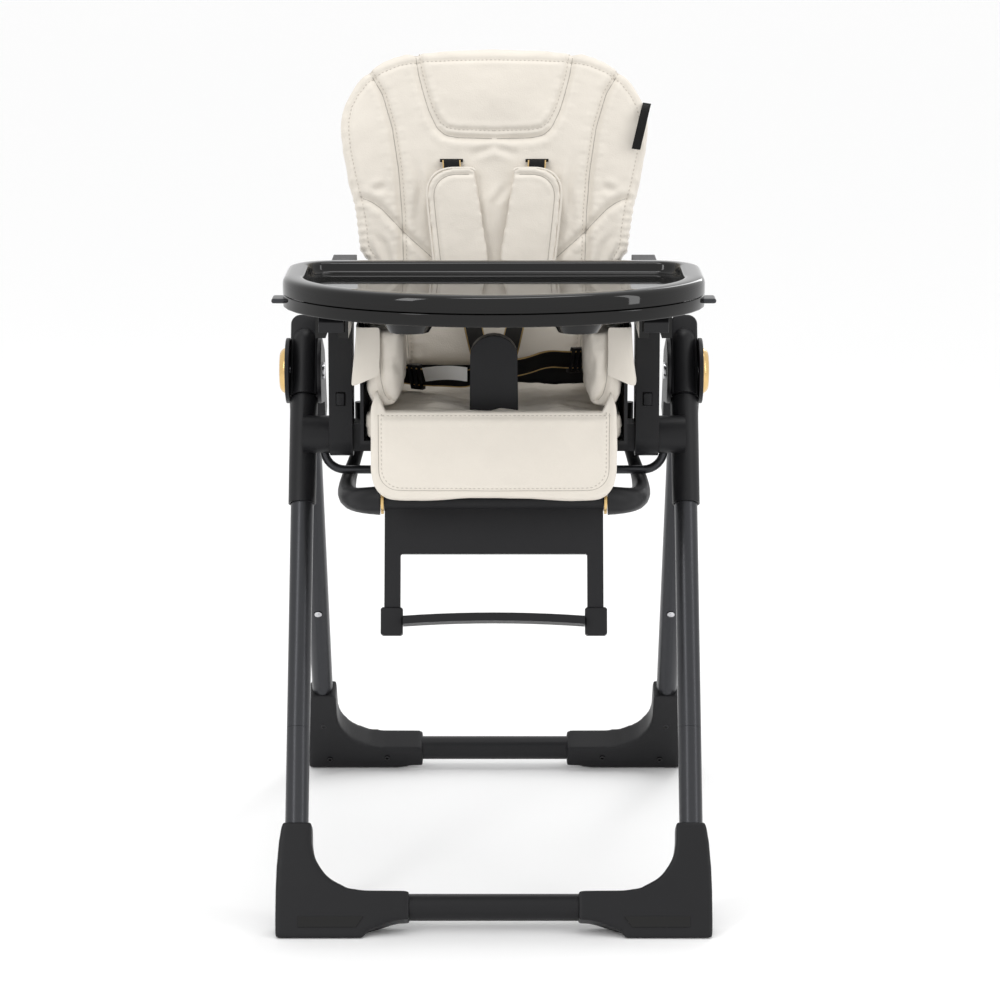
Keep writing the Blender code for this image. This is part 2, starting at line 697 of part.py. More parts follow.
def side_frame(name):
    """A column on the cross tube that carries the armrest and the tray's rail."""
    half = BOSS_R + 0.003
    front, back = BOSS.y - half, BOSS.y + half
    rail_top, rail_bottom = TRAY_BASE_Z - GAP, TRAY_BASE_Z - GAP - RAIL_HEIGHT
    rear_end = BACK_PIVOT_Y + 0.028
    step = TRAY_REAR_Y + 0.006
    outline = [(rear_end, ARM_TOP_Z - 0.010), (rear_end - 0.008, ARM_TOP_Z), (step, ARM_TOP_Z)]
    outline += [(step, rail_top), (TRAY_FRONT_Y + 0.095, rail_top)]
    outline += [(TRAY_FRONT_Y + 0.090, rail_top - 0.007), (TRAY_FRONT_Y + 0.095, rail_bottom)]
    outline += arc((front - 0.030, rail_bottom - 0.030), 0.030, 90, 0, 5)
    outline += arc((BOSS.y, BOSS.z), half, 180, 360, 12)
    outline += arc((back + 0.055, rail_bottom - 0.062), 0.055, 180, 90, 6)
    outline += [(rear_end, ARM_TOP_Z - 0.036)]
    middle = (FRAME_OUTER + FRAME_INNER) / 2
    frame = soften(plate(name, outline, FRAME_WIDTH, on_side(middle)), 0.004)
    bore = rod("bore", BOSS + AXIS_X * (FRAME_INNER - 0.02), BOSS + AXIS_X * (FRAME_OUTER + 0.02),
               SEAT_TUBE_R + GAP)
    pocket = box("button_pocket", *button_box(GAP * 2, 0.004))
    return cut(frame, bore, pocket)


def button_box(grow=0.0, deeper=0.0):
    """The height button in the front of the side frame, as its low and high corners."""
    x, z = (FRAME_OUTER + FRAME_INNER) / 2, BOSS.z + 0.050
    front = BOSS.y - BOSS_R - 0.003
    low = (x - 0.0055 - grow, front - 0.0030, z - 0.008 - grow)
    high = (x + 0.0055 + grow, front + 0.006 + deeper, z + 0.008 + grow)
    return low, high


def height_button(name):
    return soften(box(name, *button_box()), 0.0012, 1)


def seat_cross_tube():
    reach = AXIS_X * (SEAT_TUBE_END - GAP)
    pipe("seat_cross_tube", BOSS - reach, BOSS + reach, SEAT_TUBE_R, SEAT_TUBE_R - TUBE_WALL, GRAPHITE)


def seat_shell():
    """The seat's U-shaped shell: pan and side walls, saddles on the cross tube, lugs for the back."""
    name = "seat_shell"
    inner, top = SHELL_HALF - SHELL_WALL, WALL_TOP_Z
    channel = [(SHELL_HALF, top), (inner, top), (inner, PAN_Z + SHELL_WALL)]
    channel += [(-inner, PAN_Z + SHELL_WALL), (-inner, top), (-SHELL_HALF, top), (-SHELL_HALF, PAN_Z)]
    channel += [(SHELL_HALF, PAN_Z)]
    middle = (SHELL_FRONT_Y + SHELL_BACK_Y) / 2
    across = frame_of(Vector((0, middle, 0)), AXIS_X, Vector((0, 0, 1)))
    shell = plate(name, channel, SHELL_BACK_Y - SHELL_FRONT_Y, across)
    saddles = []
    for side in (-1, 1):
        ends = sorted((side * (FRAME_INNER - GAP), side * (SHELL_HALF - 0.040)))
        saddles.append(box("saddle", (ends[0], BOSS.y - 0.020, BOSS.z - 0.018),
                           (ends[1], BOSS.y + 0.020, PAN_Z + 0.001)))
    join(shell, *saddles)
    trim = plate("trim", [(SHELL_FRONT_Y - 0.03, PAN_Z + 0.060), (SHELL_FRONT_Y + 0.030, top + 0.005),
                          (SHELL_FRONT_Y - 0.03, top + 0.005)], 1.0, on_side(0.0))
    bore = rod("bore", BOSS - AXIS_X * 0.5, BOSS + AXIS_X * 0.5, SEAT_TUBE_R + GAP)
    pins = rod("pin_holes", BACK_PIVOT - AXIS_X * 0.5, BACK_PIVOT + AXIS_X * 0.5, PIN_R + RUN, sides=16)
    window = box("strap_window", (-0.020, -0.060, PAN_Z - 0.01), (0.020, -0.045, PAN_Z + 0.02))
    return cut(shell, trim, bore, pins, window)


def crotch_post():
    """The round-topped post that stands on the pan's front edge."""
    half = POST_WIDTH / 2
    foot_z = PAN_Z + SHELL_WALL + GAP
    outline = [(-half, foot_z), (half, foot_z)]
    outline += arc((0.0, POST_TOP_Z - 0.026), half - 0.001, 0, 180, 12, 0.026)
    middle = SHELL_FRONT_Y + POST_FRONT + POST_T / 2
    across = frame_of(Vector((0, middle, 0)), AXIS_X, Vector((0, 0, 1)))
    return soften(plate("crotch_post", outline, POST_T, across), 0.006)


def seat_pad():
    """The seat cushion with its two side bolsters, slotted for the crotch post."""
    name = "seat_pad"
    outer = SHELL_HALF - SHELL_WALL - 0.002
    inner = outer - BOLSTER_T
    low = PAN_Z + SHELL_WALL + GAP
    top = low + SEAT_PAD_T
    channel = [(outer, low), (outer, BOLSTER_TOP_Z), (inner, BOLSTER_TOP_Z), (inner, top)]
    channel += [(-inner, top), (-inner, BOLSTER_TOP_Z), (-outer, BOLSTER_TOP_Z), (-outer, low)]
    front, back = SHELL_FRONT_Y + 0.001, BACK_PIVOT_Y - 0.036
    across = frame_of(Vector((0, (front + back) / 2, 0)), AXIS_X, Vector((0, 0, 1)))
    pad = soften(plate(name, channel, back - front, across, CREAM), 0.008)
    half = POST_WIDTH / 2 + 0.002
    slot_front = SHELL_FRONT_Y + POST_FRONT - 0.002
    slot = box("post_slot", (-half, slot_front, low - 0.02),
               (half, slot_front + POST_T + 0.004, top + 0.05))
    return cut(pad, slot)


def front_flap():
    """The padded flap that hangs over the front of the seat."""
    half = SHELL_HALF - 0.012
    top = PAN_Z + SHELL_WALL + SEAT_PAD_T + FLAP_RISE
    low = top - FLAP_DROP
    outline = [(half, top), (-half, top)]
    outline += arc((-half + 0.030, low + 0.030), 0.030, 180, 270, 5)
    outline += arc((half - 0.030, low + 0.030), 0.030, 270, 360, 5)
    middle = SHELL_FRONT_Y - 0.001 - FLAP_T / 2
    across = frame_of(Vector((0, middle, 0)), AXIS_X, Vector((0, 0, 1)))
    return soften(plate("front_flap", outline, FLAP_T, across, CREAM), 0.005)


def calf_arm(name):
    """The curved arm from the seat's side, down under the tie rod and in to the calf rest's hinge."""
    x, y = SHELL_HALF + 0.0080, BOSS.y + 0.040
    end = CALF_PIVOT + AXIS_X * (CALF_HALF_WIDTH + CALF_RING + 2 * RUN)
    top, knee = Vector((x, y, BOSS.z + 0.035)), Vector((x, y, BOSS.z - 0.018))
    handles = [knee, Vector((FRAME_INNER + 0.020, y, ROD_Z - 0.050)), end + AXIS_X * 0.050, end]
    points = [top] + [bezier(handles, k / 12) for k in range(13)]
    radii = [0.0070] + [0.0070 + (ARM_END_R - 0.0070) * k / 12 for k in range(13)]
    arm = lofted(name, points, radii, BLACK)
    pad = rod("pad", Vector((SHELL_HALF + GAP, y, top.z - 0.010)), Vector((x, y, top.z - 0.010)), 0.0068)
    pin = rod("pin", end - AXIS_X * (CALF_RING + 0.014), end + AXIS_X * 0.006, PIN_R + 0.001, sides=16)
    return join(arm, pad, pin)


def bezier(handles, t):
    a, b, c, d = handles
    s = 1 - t
    return a * s**3 + b * 3 * s * s * t + c * 3 * s * t * t + d * t**3


def waist_strap(name):
    """The waist strap from the seat's rear corner to the buckle."""
    top = PAN_Z + SHELL_WALL + SEAT_PAD_T
    x0, x1 = 0.100, 0.030
    centres = []
    for k in range(9):
        t = k / 8
        centres.append(Vector((x0 + (x1 - x0) * t, -0.030 - 0.120 * t,
                               top + 0.034 - 0.010 * math.sin(math.pi * t) + 0.014 * t)))
    return ribbon(name, centres, Vector((0, 0, 1)), WEB_WIDTH, WEB_T, WEB)


def buckle():
    """The harness buckle behind the crotch post."""
    z = PAN_Z + SHELL_WALL + SEAT_PAD_T + 0.052
    y = -0.160
    outline = [(-0.022, -0.016), (0.022, -0.016), (0.025, 0.004), (0.012, 0.020), (-0.012, 0.020),
               (-0.025, 0.004)]
    across = frame_of(Vector((0, y, z)), AXIS_X, Vector((0, 0, 1)))
    return soften(plate("buckle", outline, 0.014, across, GLOSS), 0.002, 1)


def seat_carriage():
    both_sides(slider, "slider")
    tie_rod("tie_rod")
    both_sides(side_frame, "side_frame")
    both_sides(height_button, "height_button")
    seat_cross_tube()
    seat_shell()
    crotch_post()
    seat_pad()
    front_flap()
    both_sides(calf_arm, "calf_arm")
    both_sides(waist_strap, "waist_strap")
    buckle()


# ---------------------------------------------------------------- backrest
def back_half_width(along):
    """Half the backrest's width at a height along it: narrow in the seat, wide at the shoulders."""
    low, waist, wide = SHELL_HALF - 0.013, SHELL_HALF + 0.010, SHELL_HALF + 0.036
    if along < 0.140:
        return low
    if along < 0.180:
        return low + (waist - low) * (along - 0.140) / 0.040
    return waist + (wide - waist) * (1 - math.cos(min((along - 0.180) / 0.170, 1.0) * math.pi)) / 2


def back_outline(start, length, grow):
    """The backrest's outline as (x, height along it), round at its top corners."""
    corner = 0.100
    steps = [start, 0.140, 0.160, 0.180, 0.205, 0.235, 0.270, 0.310, length - corner]
    right = [(back_half_width(a) + grow, a) for a in steps]
    wide = right[-1][0]
    top = arc((wide - corner, length - corner), corner, 9, 81, 8)
    right += top + [(wide - corner - 0.030, length + 0.003), (0.0, length + 0.006)]
    return right + [(-x, a) for x, a in reversed(right[:-1])]


def back_plane(out):
    return frame_of(back_point(0, out), AXIS_X, BACK_UP)


def backrest_shell():
    """The moulded back: a plate with a hinge barrel, two ribs, and slots for the harness."""
    name = "backrest_shell"
    shell = plate(name, back_outline(0.0, BACK_LENGTH - 0.006, -0.004), BACK_SHELL_T, back_plane(0.0))
    reach = SHELL_HALF - SHELL_WALL - 0.002
    barrel = rod("barrel", BACK_PIVOT - AXIS_X * reach, BACK_PIVOT + AXIS_X * reach, BARREL_R, sides=16)
    pins = rod("pins", BACK_PIVOT - AXIS_X * (SHELL_HALF + 0.003),
               BACK_PIVOT + AXIS_X * (SHELL_HALF + 0.003), PIN_R, sides=16)
    ribs = []
    for x in (-0.090, 0.090):
        outline = [(0.0, 0.0), (0.340, 0.0), (0.320, -0.014), (0.0, -0.020)]
        matrix = frame_of(back_point(0.01, -0.001, x), BACK_UP, BACK_OUT)
        ribs.append(plate("rib", outline, 0.012, matrix))
    join(shell, barrel, pins, *ribs)
    slots = [slot_cutter(side, 0.0) for side in (-1, 1)]
    return cut(shell, *slots)


def slot_cutter(side, out):
    """Cuts a harness slot through the back."""
    x, along = side * SHOULDER_X, SHOULDER_TO - 0.006
    outline = [(-0.016, -0.004), (0.016, -0.004), (0.016, 0.004), (-0.016, 0.004)]
    return plate("slot", outline, 0.12, frame_of(back_point(along, out, x), AXIS_X, BACK_UP))


def backrest_pad():
    """The back cushion, in front of the shell."""
    outline = back_outline(BACK_PAD_START, BACK_LENGTH, 0.0)
    out = BACK_SHELL_T / 2 + GAP + BACK_PAD_T / 2
    pad = plate("backrest_pad", outline, BACK_PAD_T, back_plane(out), CREAM)
    slots = [slot_cutter(side, 0.0) for side in (-1, 1)]
    return cut(soften(pad, 0.008), *slots)


def pad_front():
    """The back cushion's face, square to the backrest from its hinge."""
    return BACK_SHELL_T / 2 + GAP + BACK_PAD_T


def strap_x(along):
    """How far the shoulder strap is from the middle at a height along the back."""
    share = (along - 0.092) / (SHOULDER_TO - 0.006 - 0.092)
    return SHOULDER_LOW_X + (SHOULDER_X - SHOULDER_LOW_X) * share


def shoulder_pad(name):
    """The soft sleeve round the shoulder strap, wider at the bottom, where the two nearly meet."""
    top, corner = SHOULDER_TO - 0.0085, 0.018
    outer = SHOULDER_X + SHOULDER_OUTER
    outline = [(SHOULDER_CENTRE_GAP, SHOULDER_FROM), (outer - 0.013, SHOULDER_FROM), (outer, top - 0.030)]
    outline += arc((outer - corner, top - corner), corner, 0, 90, 4)
    outline += [(SHOULDER_X - 0.022, top), (SHOULDER_CENTRE_GAP, SHOULDER_FROM + 0.042)]
    out = pad_front() + 0.003 + SHOULDER_T / 2
    pad = soften(plate(name, outline, SHOULDER_T, back_plane(out), CREAM), 0.003, 1)
    low, high, half = SHOULDER_FROM - 0.02, top + 0.02, WEB_WIDTH / 2 + 0.0015
    channel = [(strap_x(low) - half, low), (strap_x(low) + half, low), (strap_x(high) + half, high),
               (strap_x(high) - half, high)]
    return cut(pad, plate("channel", channel, WEB_T + 2 * RUN, back_plane(out)))


def shoulder_strap(name):
    """The strap from its slot in the back, through the shoulder pad and on down."""
    out = pad_front() + 0.003 + SHOULDER_T / 2
    path = [(SHOULDER_TO - 0.006, 0.002), (SHOULDER_TO - 0.006, out),
            (SHOULDER_FROM - 0.004, out), (0.092, out + 0.004)]
    centres = [back_point(along, off, strap_x(along)) for along, off in path]
    return ribbon(name, centres, AXIS_X, WEB_WIDTH, WEB_T, WEB)


def recline_handle():
    """The pull bar behind the back: a flat loop that slides up to free the recline."""
    half, bar = HANDLE_WIDTH / 2, 0.014
    outer = [(-half, 0.0), (half, 0.0)]
    outer += arc((half - 0.016, 0.040), 0.016, 0, 90, 4) + arc((-half + 0.016, 0.040), 0.016, 90, 180, 4)
    matrix = frame_of(back_point(0.300, -BACK_SHELL_T / 2 - RUN - 0.006, 0), AXIS_X, BACK_UP)
    handle = plate("recline_handle", outer, 0.012, matrix)
    hole = plate("grip_hole", [(-half + bar, 0.016), (half - bar, 0.016), (half - bar, 0.042),
                               (-half + bar, 0.042)], 0.05, matrix)
    return soften(cut(handle, hole), 0.003, 1)


def backrest():
    backrest_shell()
    backrest_pad()
    both_sides(shoulder_pad, "shoulder_pad")
    both_sides(shoulder_strap, "shoulder_strap")
    recline_handle()


# ---------------------------------------------------------------- calf rest
def calf_board():
    """The calf board: a panel on a hinge barrel, with a rail down each side for the foot bar."""
    half, rail = CALF_HALF_WIDTH - 2 * GAP, CALF_RAIL_WIDTH
    outline = [(half, 0.0), (half, CALF_RAIL), (half - rail, CALF_RAIL), (half - rail, CALF_BOARD)]
    outline += [(-half + rail, CALF_BOARD), (-half + rail, CALF_RAIL), (-half, CALF_RAIL), (-half, 0.0)]
    matrix = frame_of(CALF_PIVOT, AXIS_X, CALF_DOWN)
    board = soften(plate("calf_board", outline, CALF_T, matrix), 0.0015, 1)
    reach = AXIS_X * CALF_HALF_WIDTH
    join(board, rod("barrel", CALF_PIVOT - reach, CALF_PIVOT + reach, CALF_BARREL_R))
    holes = []
    for side in (-1, 1):
        inside = CALF_PIVOT + AXIS_X * side * (CALF_HALF_WIDTH - 0.018)
        outside = CALF_PIVOT + AXIS_X * side * (CALF_HALF_WIDTH + 0.01)
        holes.append(rod("pin_hole", inside, outside, PIN_R + 0.001 + RUN, sides=16))
    return cut(board, *holes)


def calf_ring(name):
    """The gold ring between the calf rest and its arm."""
    start = CALF_PIVOT + AXIS_X * (CALF_HALF_WIDTH + RUN)
    inner = PIN_R + 0.001 + RUN
    return pipe(name, start, start + AXIS_X * (CALF_RING - RUN), ARM_END_R - 0.001, inner, GOLD, ROUND)


def clamp_at(along, x, name, material, grow):
    width, depth = CALF_RAIL_WIDTH / 2 + grow, CALF_T / 2 + grow
    outline = [(-width, -depth), (width, -depth), (width, depth), (-width, depth)]
    matrix = frame_of(calf_point(along, 0.0, x), AXIS_X, CALF_OUT)
    return matrix, outline


def foot_bar_clamp(name):
    """The sleeve that carries one end of the foot bar along its rail."""
    x = CALF_HALF_WIDTH - CALF_RAIL_WIDTH / 2
    middle = CALF_RAIL - CLAMP_LENGTH / 2 + 0.002
    matrix, outline = clamp_at(middle, x, name, BLACK, CLAMP_WALL + GAP * 2)
    clamp = soften(plate(name, outline, CLAMP_LENGTH, matrix), 0.002, 1)
    matrix, outline = clamp_at(middle, x, name, BLACK, GAP * 2)
    return cut(clamp, plate("rail", outline, CLAMP_LENGTH * 2, matrix))


def foot_bar():
    """The bar under the child's feet, gently bowed, between the two clamps."""
    half = CALF_HALF_WIDTH - CALF_RAIL_WIDTH - CLAMP_WALL - 3 * GAP
    rise, count = 0.004, 10
    xs = [-half + 2 * half * k / count for k in range(count + 1)]
    upper = [(x, FOOT_BAR_T / 2 + rise * (1 - (x / half) ** 2)) for x in xs]
    lower = [(x, -FOOT_BAR_T / 2 + rise * (1 - (x / half) ** 2)) for x in reversed(xs)]
    centre = calf_point(CALF_RAIL - CLAMP_LENGTH / 2 + 0.002, 0.004)
    matrix = frame_of(centre, AXIS_X, -CALF_DOWN)
    return soften(plate("foot_bar", upper + lower, FOOT_BAR_DEPTH, matrix), 0.003, 1)


def calf_rest():
    calf_board()
    both_sides(calf_ring, "calf_ring")
    both_sides(foot_bar_clamp, "foot_bar_clamp")
    foot_bar()


# ---------------------------------------------------------------- tray
def tray_outline(grow):
    """The tray seen from above: nearly straight behind, round at the corners, bowed in front."""
    half = TRAY_HALF_WIDTH + grow
    back, front = TRAY_REAR_Y + grow, TRAY_FRONT_Y - grow
    corner = 0.055 + grow
    shoulder = back - 0.145
    rear = arc((half - corner, back - corner), corner, 0, 90, 6)
    bow = arc((0.0, shoulder), half, 0, -180, 24, shoulder - front)
    left = [(-x, y) for x, y in reversed(rear)]
    return rear + left + list(reversed(bow))


def slab(name, grow, low, high, material=None):
    return plate(name, tray_outline(grow), high - low, level((low + high) / 2), material)


def tray_base():
    """The tray's lower half: a slab under the floor, with rails that clasp the side frames' rails."""
    base = soften(slab("tray_base", 0.0, TRAY_BASE_Z, TRAY_SEAM_Z - GAP, GLOSS), 0.004)
    platform = TRAY_FLOOR_Z - TRAY_FLOOR_T - GAP
    if platform < TRAY_SEAM_Z:
        cut(base, slab("dish", -TRAY_RIM + 0.0025, platform, TRAY_SEAM_Z + 0.01))
        extras = []
    else:
        extras = [slab("platform", -TRAY_RIM - RUN, TRAY_SEAM_Z - 0.002, platform)]
    rail_low = TRAY_BASE_Z - RAIL_HEIGHT - 0.006
    for side in (-1, 1):
        for face, lip in ((FRAME_OUTER + RUN, -1), (FRAME_INNER - RUN, 1)):
            wall = sorted((side * face, side * (face - lip * 0.004)))
            hook = sorted((side * (face - lip * 0.004), side * (face + lip * 0.008)))
            y0, y1 = TRAY_FRONT_Y + 0.110, TRAY_REAR_Y - 0.060
            extras.append(box("guide", (wall[0], y0, rail_low), (wall[1], y1, TRAY_BASE_Z + 0.002)))
            extras.append(box("hook", (hook[0], y0, rail_low - 0.003), (hook[1], y1, rail_low + 0.0045)))
        centre = Vector((side * WELL_X, TRAY_FRONT_Y + 0.078, 0))
        extras.append(rod("well", centre + Vector((0, 0, TRAY_BASE_Z - WELL_DROP)),
                          centre + Vector((0, 0, TRAY_BASE_Z + 0.001)), WELL_R - 0.010,
                          end_radius=WELL_R))
    join(base, *extras)
    pockets = [box("latch_pocket", *latch_box(side, GAP * 2, 0.010)) for side in (-1, 1)]
    return cut(base, *pockets)


LATCH_Y = TRAY_REAR_Y - 0.150
LATCH_Z = TRAY_BASE_Z + 0.0072


def latch_box(side, grow, deeper):
    """The tray's side latch as its low and high corners."""
    ends = sorted((side * (TRAY_HALF_WIDTH + LATCH_PROUD + grow),
                   side * (TRAY_HALF_WIDTH - 0.012 - deeper)))
    return ((ends[0], LATCH_Y - LATCH_LENGTH / 2 - grow, LATCH_Z - LATCH_T / 2 - grow),
            (ends[1], LATCH_Y + LATCH_LENGTH / 2 + grow, LATCH_Z + LATCH_T / 2 + grow))


def tray_latch(name):
    latch = box(name, *latch_box(1, 0.0, 0.0), GRAPHITE)
    return soften(latch, 0.0025, 2)


def tray_cover():
    """The lift-off cover: a raised rim round a thin, flat floor."""
    cover = soften(slab("tray_cover", 0.0, TRAY_SEAM_Z, TRAY_TOP_Z, GLOSS), 0.006)
    cut(cover, slab("inside", -TRAY_RIM, TRAY_SEAM_Z - 0.01, TRAY_TOP_Z + 0.01))
    pan_top = max(TRAY_SEAM_Z, TRAY_FLOOR_Z) + 0.004
    pan = slab("pan", -TRAY_RIM + 0.0022, TRAY_FLOOR_Z - TRAY_FLOOR_T, pan_top)
    cut(pan, slab("hollow", -TRAY_RIM, TRAY_FLOOR_Z, pan_top + 0.01))
    return join(cover, pan)


def tray():
    tray_base()
    tray_cover()
    both_sides(tray_latch, "tray_latch")


front_frame()
rear_frame()
seat_carriage()
backrest()
calf_rest()
tray()
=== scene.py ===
"""Folding baby high chair: padded seat and back, webbing harness, gloss tray and moulded frame."""

import json
import math

import bpy
import numpy as np
from bpy.props import FloatProperty, FloatVectorProperty, PointerProperty
from mathutils import Matrix, Vector, noise


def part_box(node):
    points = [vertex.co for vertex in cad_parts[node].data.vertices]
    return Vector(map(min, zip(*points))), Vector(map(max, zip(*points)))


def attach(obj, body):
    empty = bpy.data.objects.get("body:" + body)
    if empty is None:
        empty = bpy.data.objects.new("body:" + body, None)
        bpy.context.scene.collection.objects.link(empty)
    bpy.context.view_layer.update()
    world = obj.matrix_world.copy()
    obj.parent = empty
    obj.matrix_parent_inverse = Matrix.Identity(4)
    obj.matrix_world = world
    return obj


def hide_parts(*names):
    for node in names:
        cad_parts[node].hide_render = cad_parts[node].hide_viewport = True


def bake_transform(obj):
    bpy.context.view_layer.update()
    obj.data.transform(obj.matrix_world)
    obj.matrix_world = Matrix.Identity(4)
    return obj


bl_info = {
    "name": "Baby high chair",
    "version": (1, 0, 0),
    "blender": (4, 5, 0),
    "location": "View3D > Sidebar > High chair",
    "description": "Upholsters, finishes and lights a folding baby high chair round its frame",
    "category": "Object",
}

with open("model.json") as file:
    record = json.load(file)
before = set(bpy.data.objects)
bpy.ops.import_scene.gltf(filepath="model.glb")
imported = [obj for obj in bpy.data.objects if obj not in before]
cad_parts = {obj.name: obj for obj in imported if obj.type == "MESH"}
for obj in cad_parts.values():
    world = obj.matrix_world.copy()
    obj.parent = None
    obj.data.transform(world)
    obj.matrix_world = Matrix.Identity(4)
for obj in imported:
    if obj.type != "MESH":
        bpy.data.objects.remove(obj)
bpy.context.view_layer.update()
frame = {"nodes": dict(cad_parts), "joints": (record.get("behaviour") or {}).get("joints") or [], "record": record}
NODES = frame["nodes"]
JOINTS = {joint["name"]: joint for joint in frame["joints"]}
SIDES = (("left", -1), ("right", 1))
X = Vector((1.0, 0.0, 0.0))
MERGE = 0.00002  # points nearer to each other than this are one point
SHARP = math.radians(46.0)  # edges of the frame's own parts that turn more than this stay sharp
CLOTH_FRAMES = 20
SENSOR_WIDTH = 36.0


class Plane:
    """A flat working plane: x across the chair, a along it, o out of it."""

    def __init__(self, origin, along):
        self.origin = Vector(origin)
        self.along = Vector(along).normalized()
        self.out = Vector((0.0, -self.along.z, self.along.y))

    def point(self, x, a, o=0.0):
        return self.origin + X * x + self.along * a + self.out * o

    def local(self, points):
        """Columns x, a and o for an array of points."""
        away = points - np.array(self.origin)
        return np.stack((away[:, 0], away @ np.array(self.along), away @ np.array(self.out)), 1)


# ---------------------------------------------------------------- places taken from the frame
BACK = Plane(JOINTS["recline"]["pos_m"], JOINTS["recline_release"]["axis"])
BACK_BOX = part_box("backrest_pad")
SHELL_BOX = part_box("seat_shell")
PAD_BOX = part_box("seat_pad")
FLAP_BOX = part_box("front_flap")
TRAY_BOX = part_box("tray_cover")
BASE_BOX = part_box("tray_base")
BUCKLE_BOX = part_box("buckle")
FRAME_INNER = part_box("side_frame_right")[0].x
ARM_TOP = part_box("side_frame_right")[1].z
FLAP = Plane((0.0, FLAP_BOX[0].y, FLAP_BOX[1].z), (0.0, 0.0, 1.0))
PAD_FRONT = 0.0333  # back cushion's face, square to the backrest from its hinge
BACK_LENGTH = 0.436
SEAT_TOP = PAD_BOX[0].z + 0.035
BOLSTER_WIDTH = 0.043
BOLSTER_LOW = SEAT_TOP + 0.0065
FRAME_GAP = 0.0022  # room between the covers and the side frames
EDGE_SEAM = 0.011  # the back's edge seam, in from its outline
STRAP_X, STRAP_BEND = 0.0555, (0.0345, 0.118)
FOOT_HALF = 0.0195
FOOT_GRID = 0.0022
FOOT_SHOULDER = 0.055  # above this height the feet grow slimmer
FOOT_TAPER = 0.14
FLOOR_GAP = 0.0001

MOUNTS = {mount["name"]: mount["pos_m"] for mount in frame["record"]["mounts"]}
TRAY_FLOOR = MOUNTS["tray_top"][2]
SNAP = Vector(JOINTS["snap_press_right"]["axis"])
FLOOR_LEGS = {  # each pair of legs as a plane that stands on the floor and leans with them
    "front": Plane((0.0, MOUNTS["floor_front_right"][1], 0.0),
                   -Vector(JOINTS["seat_height"]["axis"])),
    "rear": Plane((0.0, MOUNTS["floor_rear_right"][1], 0.0), (0.0, -SNAP.z, SNAP.y)),
}

# sewing lines of the back: (x, height along it), right-hand halves
WING_SEAM = ((0.1630, 0.414), (0.1455, 0.3845), (0.1325, 0.340), (0.1240, 0.283), (0.1195, 0.225),
             (0.1180, 0.175), (0.1150, 0.110), (0.1100, 0.035))
HEAD_SEAM = ((0.1027, 0.436), (0.0985, 0.410), (0.0915, 0.383), (0.0850, 0.362), (0.0745, 0.340),
             (0.0640, 0.3305), (0.0480, 0.3272), (0.0, 0.3255))
HEAD_RIDGE = ((0.0975, 0.436), (0.0930, 0.410), (0.0860, 0.385), (0.0795, 0.365), (0.0700, 0.3470),
              (0.0600, 0.3395), (0.0450, 0.3372), (0.0, 0.3358))
DART_SEAM = ((0.1700, 0.2467), (0.1580, 0.2415), (0.1452, 0.2322), (0.1320, 0.2185),
             (0.1198, 0.206), (0.1060, 0.1925), (0.0926, 0.1806), (0.0700, 0.1600))
SLOT_X, SLOT_ALONG = 0.060, 0.286
PAD_OUTLINE = ((0.0065, 0.130), (0.0745, 0.130), (0.0838, 0.215), (0.0868, 0.2480),
               (0.0858, 0.2600), (0.0822, 0.2690), (0.0767, 0.2757), (0.0690, 0.2805),
               (0.0605, 0.2828), (0.0530, 0.2835), (0.0290, 0.2835), (0.0252, 0.2800),
               (0.0072, 0.170))
# the back's outline: (x, height along it), right-hand half from below
BACK_OUTLINE = ((0.150, 0.035), (0.150, 0.138), (0.157, 0.152), (0.1725, 0.180), (0.1755, 0.205),
                (0.1805, 0.235), (0.1890, 0.270), (0.1965, 0.310), (0.1990, 0.336), (0.1990, 0.354),
                (0.1950, 0.372), (0.1860, 0.389), (0.1720, 0.4065), (0.1530, 0.4205),
                (0.1300, 0.4305), (0.1000, 0.4360), (0.0600, 0.4385), (0.0, 0.4400))


# ---------------------------------------------------------------- settings
def colour_setting(name, about, default):
    return FloatVectorProperty(name=name, description=about, subtype="COLOR", size=3,
                               min=0.0, max=1.0, default=default)


def length_setting(name, about, low, high, default):
    return FloatProperty(name=name, description=about, subtype="DISTANCE", unit="LENGTH",
                         min=low, max=high, default=default)


class HighChairFinish(bpy.types.PropertyGroup):
    """Colours of the chair's finishes."""

    cream: colour_setting("Cover", "Coated fabric of the cushions", (0.735, 0.685, 0.610))
    plastic: colour_setting("Plastic", "Moulded plastic of the frame", (0.0088, 0.0088, 0.0100))
    gloss: colour_setting("Tray", "Polished plastic of the tray", (0.0042, 0.0040, 0.0038))
    tube: colour_setting("Tubes", "Metallic paint of the legs", (0.046, 0.047, 0.051))
    gold: colour_setting("Gold", "Metallised trim and the webbing's edges", (0.72, 0.50, 0.22))
    floor: colour_setting("Floor", "Studio floor", (0.98, 0.98, 0.98))


class HighChairPadding(bpy.types.PropertyGroup):
    """Sizes of the upholstery."""

    voxel: length_setting("Weave grid", "Spacing of the cloth's points before it is smoothed",
                          0.003, 0.01, 0.0045)
    puff: length_setting("Puff", "Most that a cushion swells between its seams", 0.0, 0.02, 0.0065)
    pressure: FloatProperty(
        name="Filling", description="Pressure of the filling on the cover", min=0.0, max=10.0,
        default=4.0)
    seam_depth: length_setting("Seam depth", "How far a row of sewing pulls the cover in",
                               0.0, 0.01, 0.0030)
    seam_width: length_setting("Seam width", "Half width of the valley along a seam",
                               0.001, 0.02, 0.0042)
    stitch: length_setting("Stitch pitch", "Distance from one stitch to the next",
                           0.002, 0.02, 0.0055)
    webbing: length_setting("Webbing width", "Width of the harness straps", 0.01, 0.05, 0.0235)


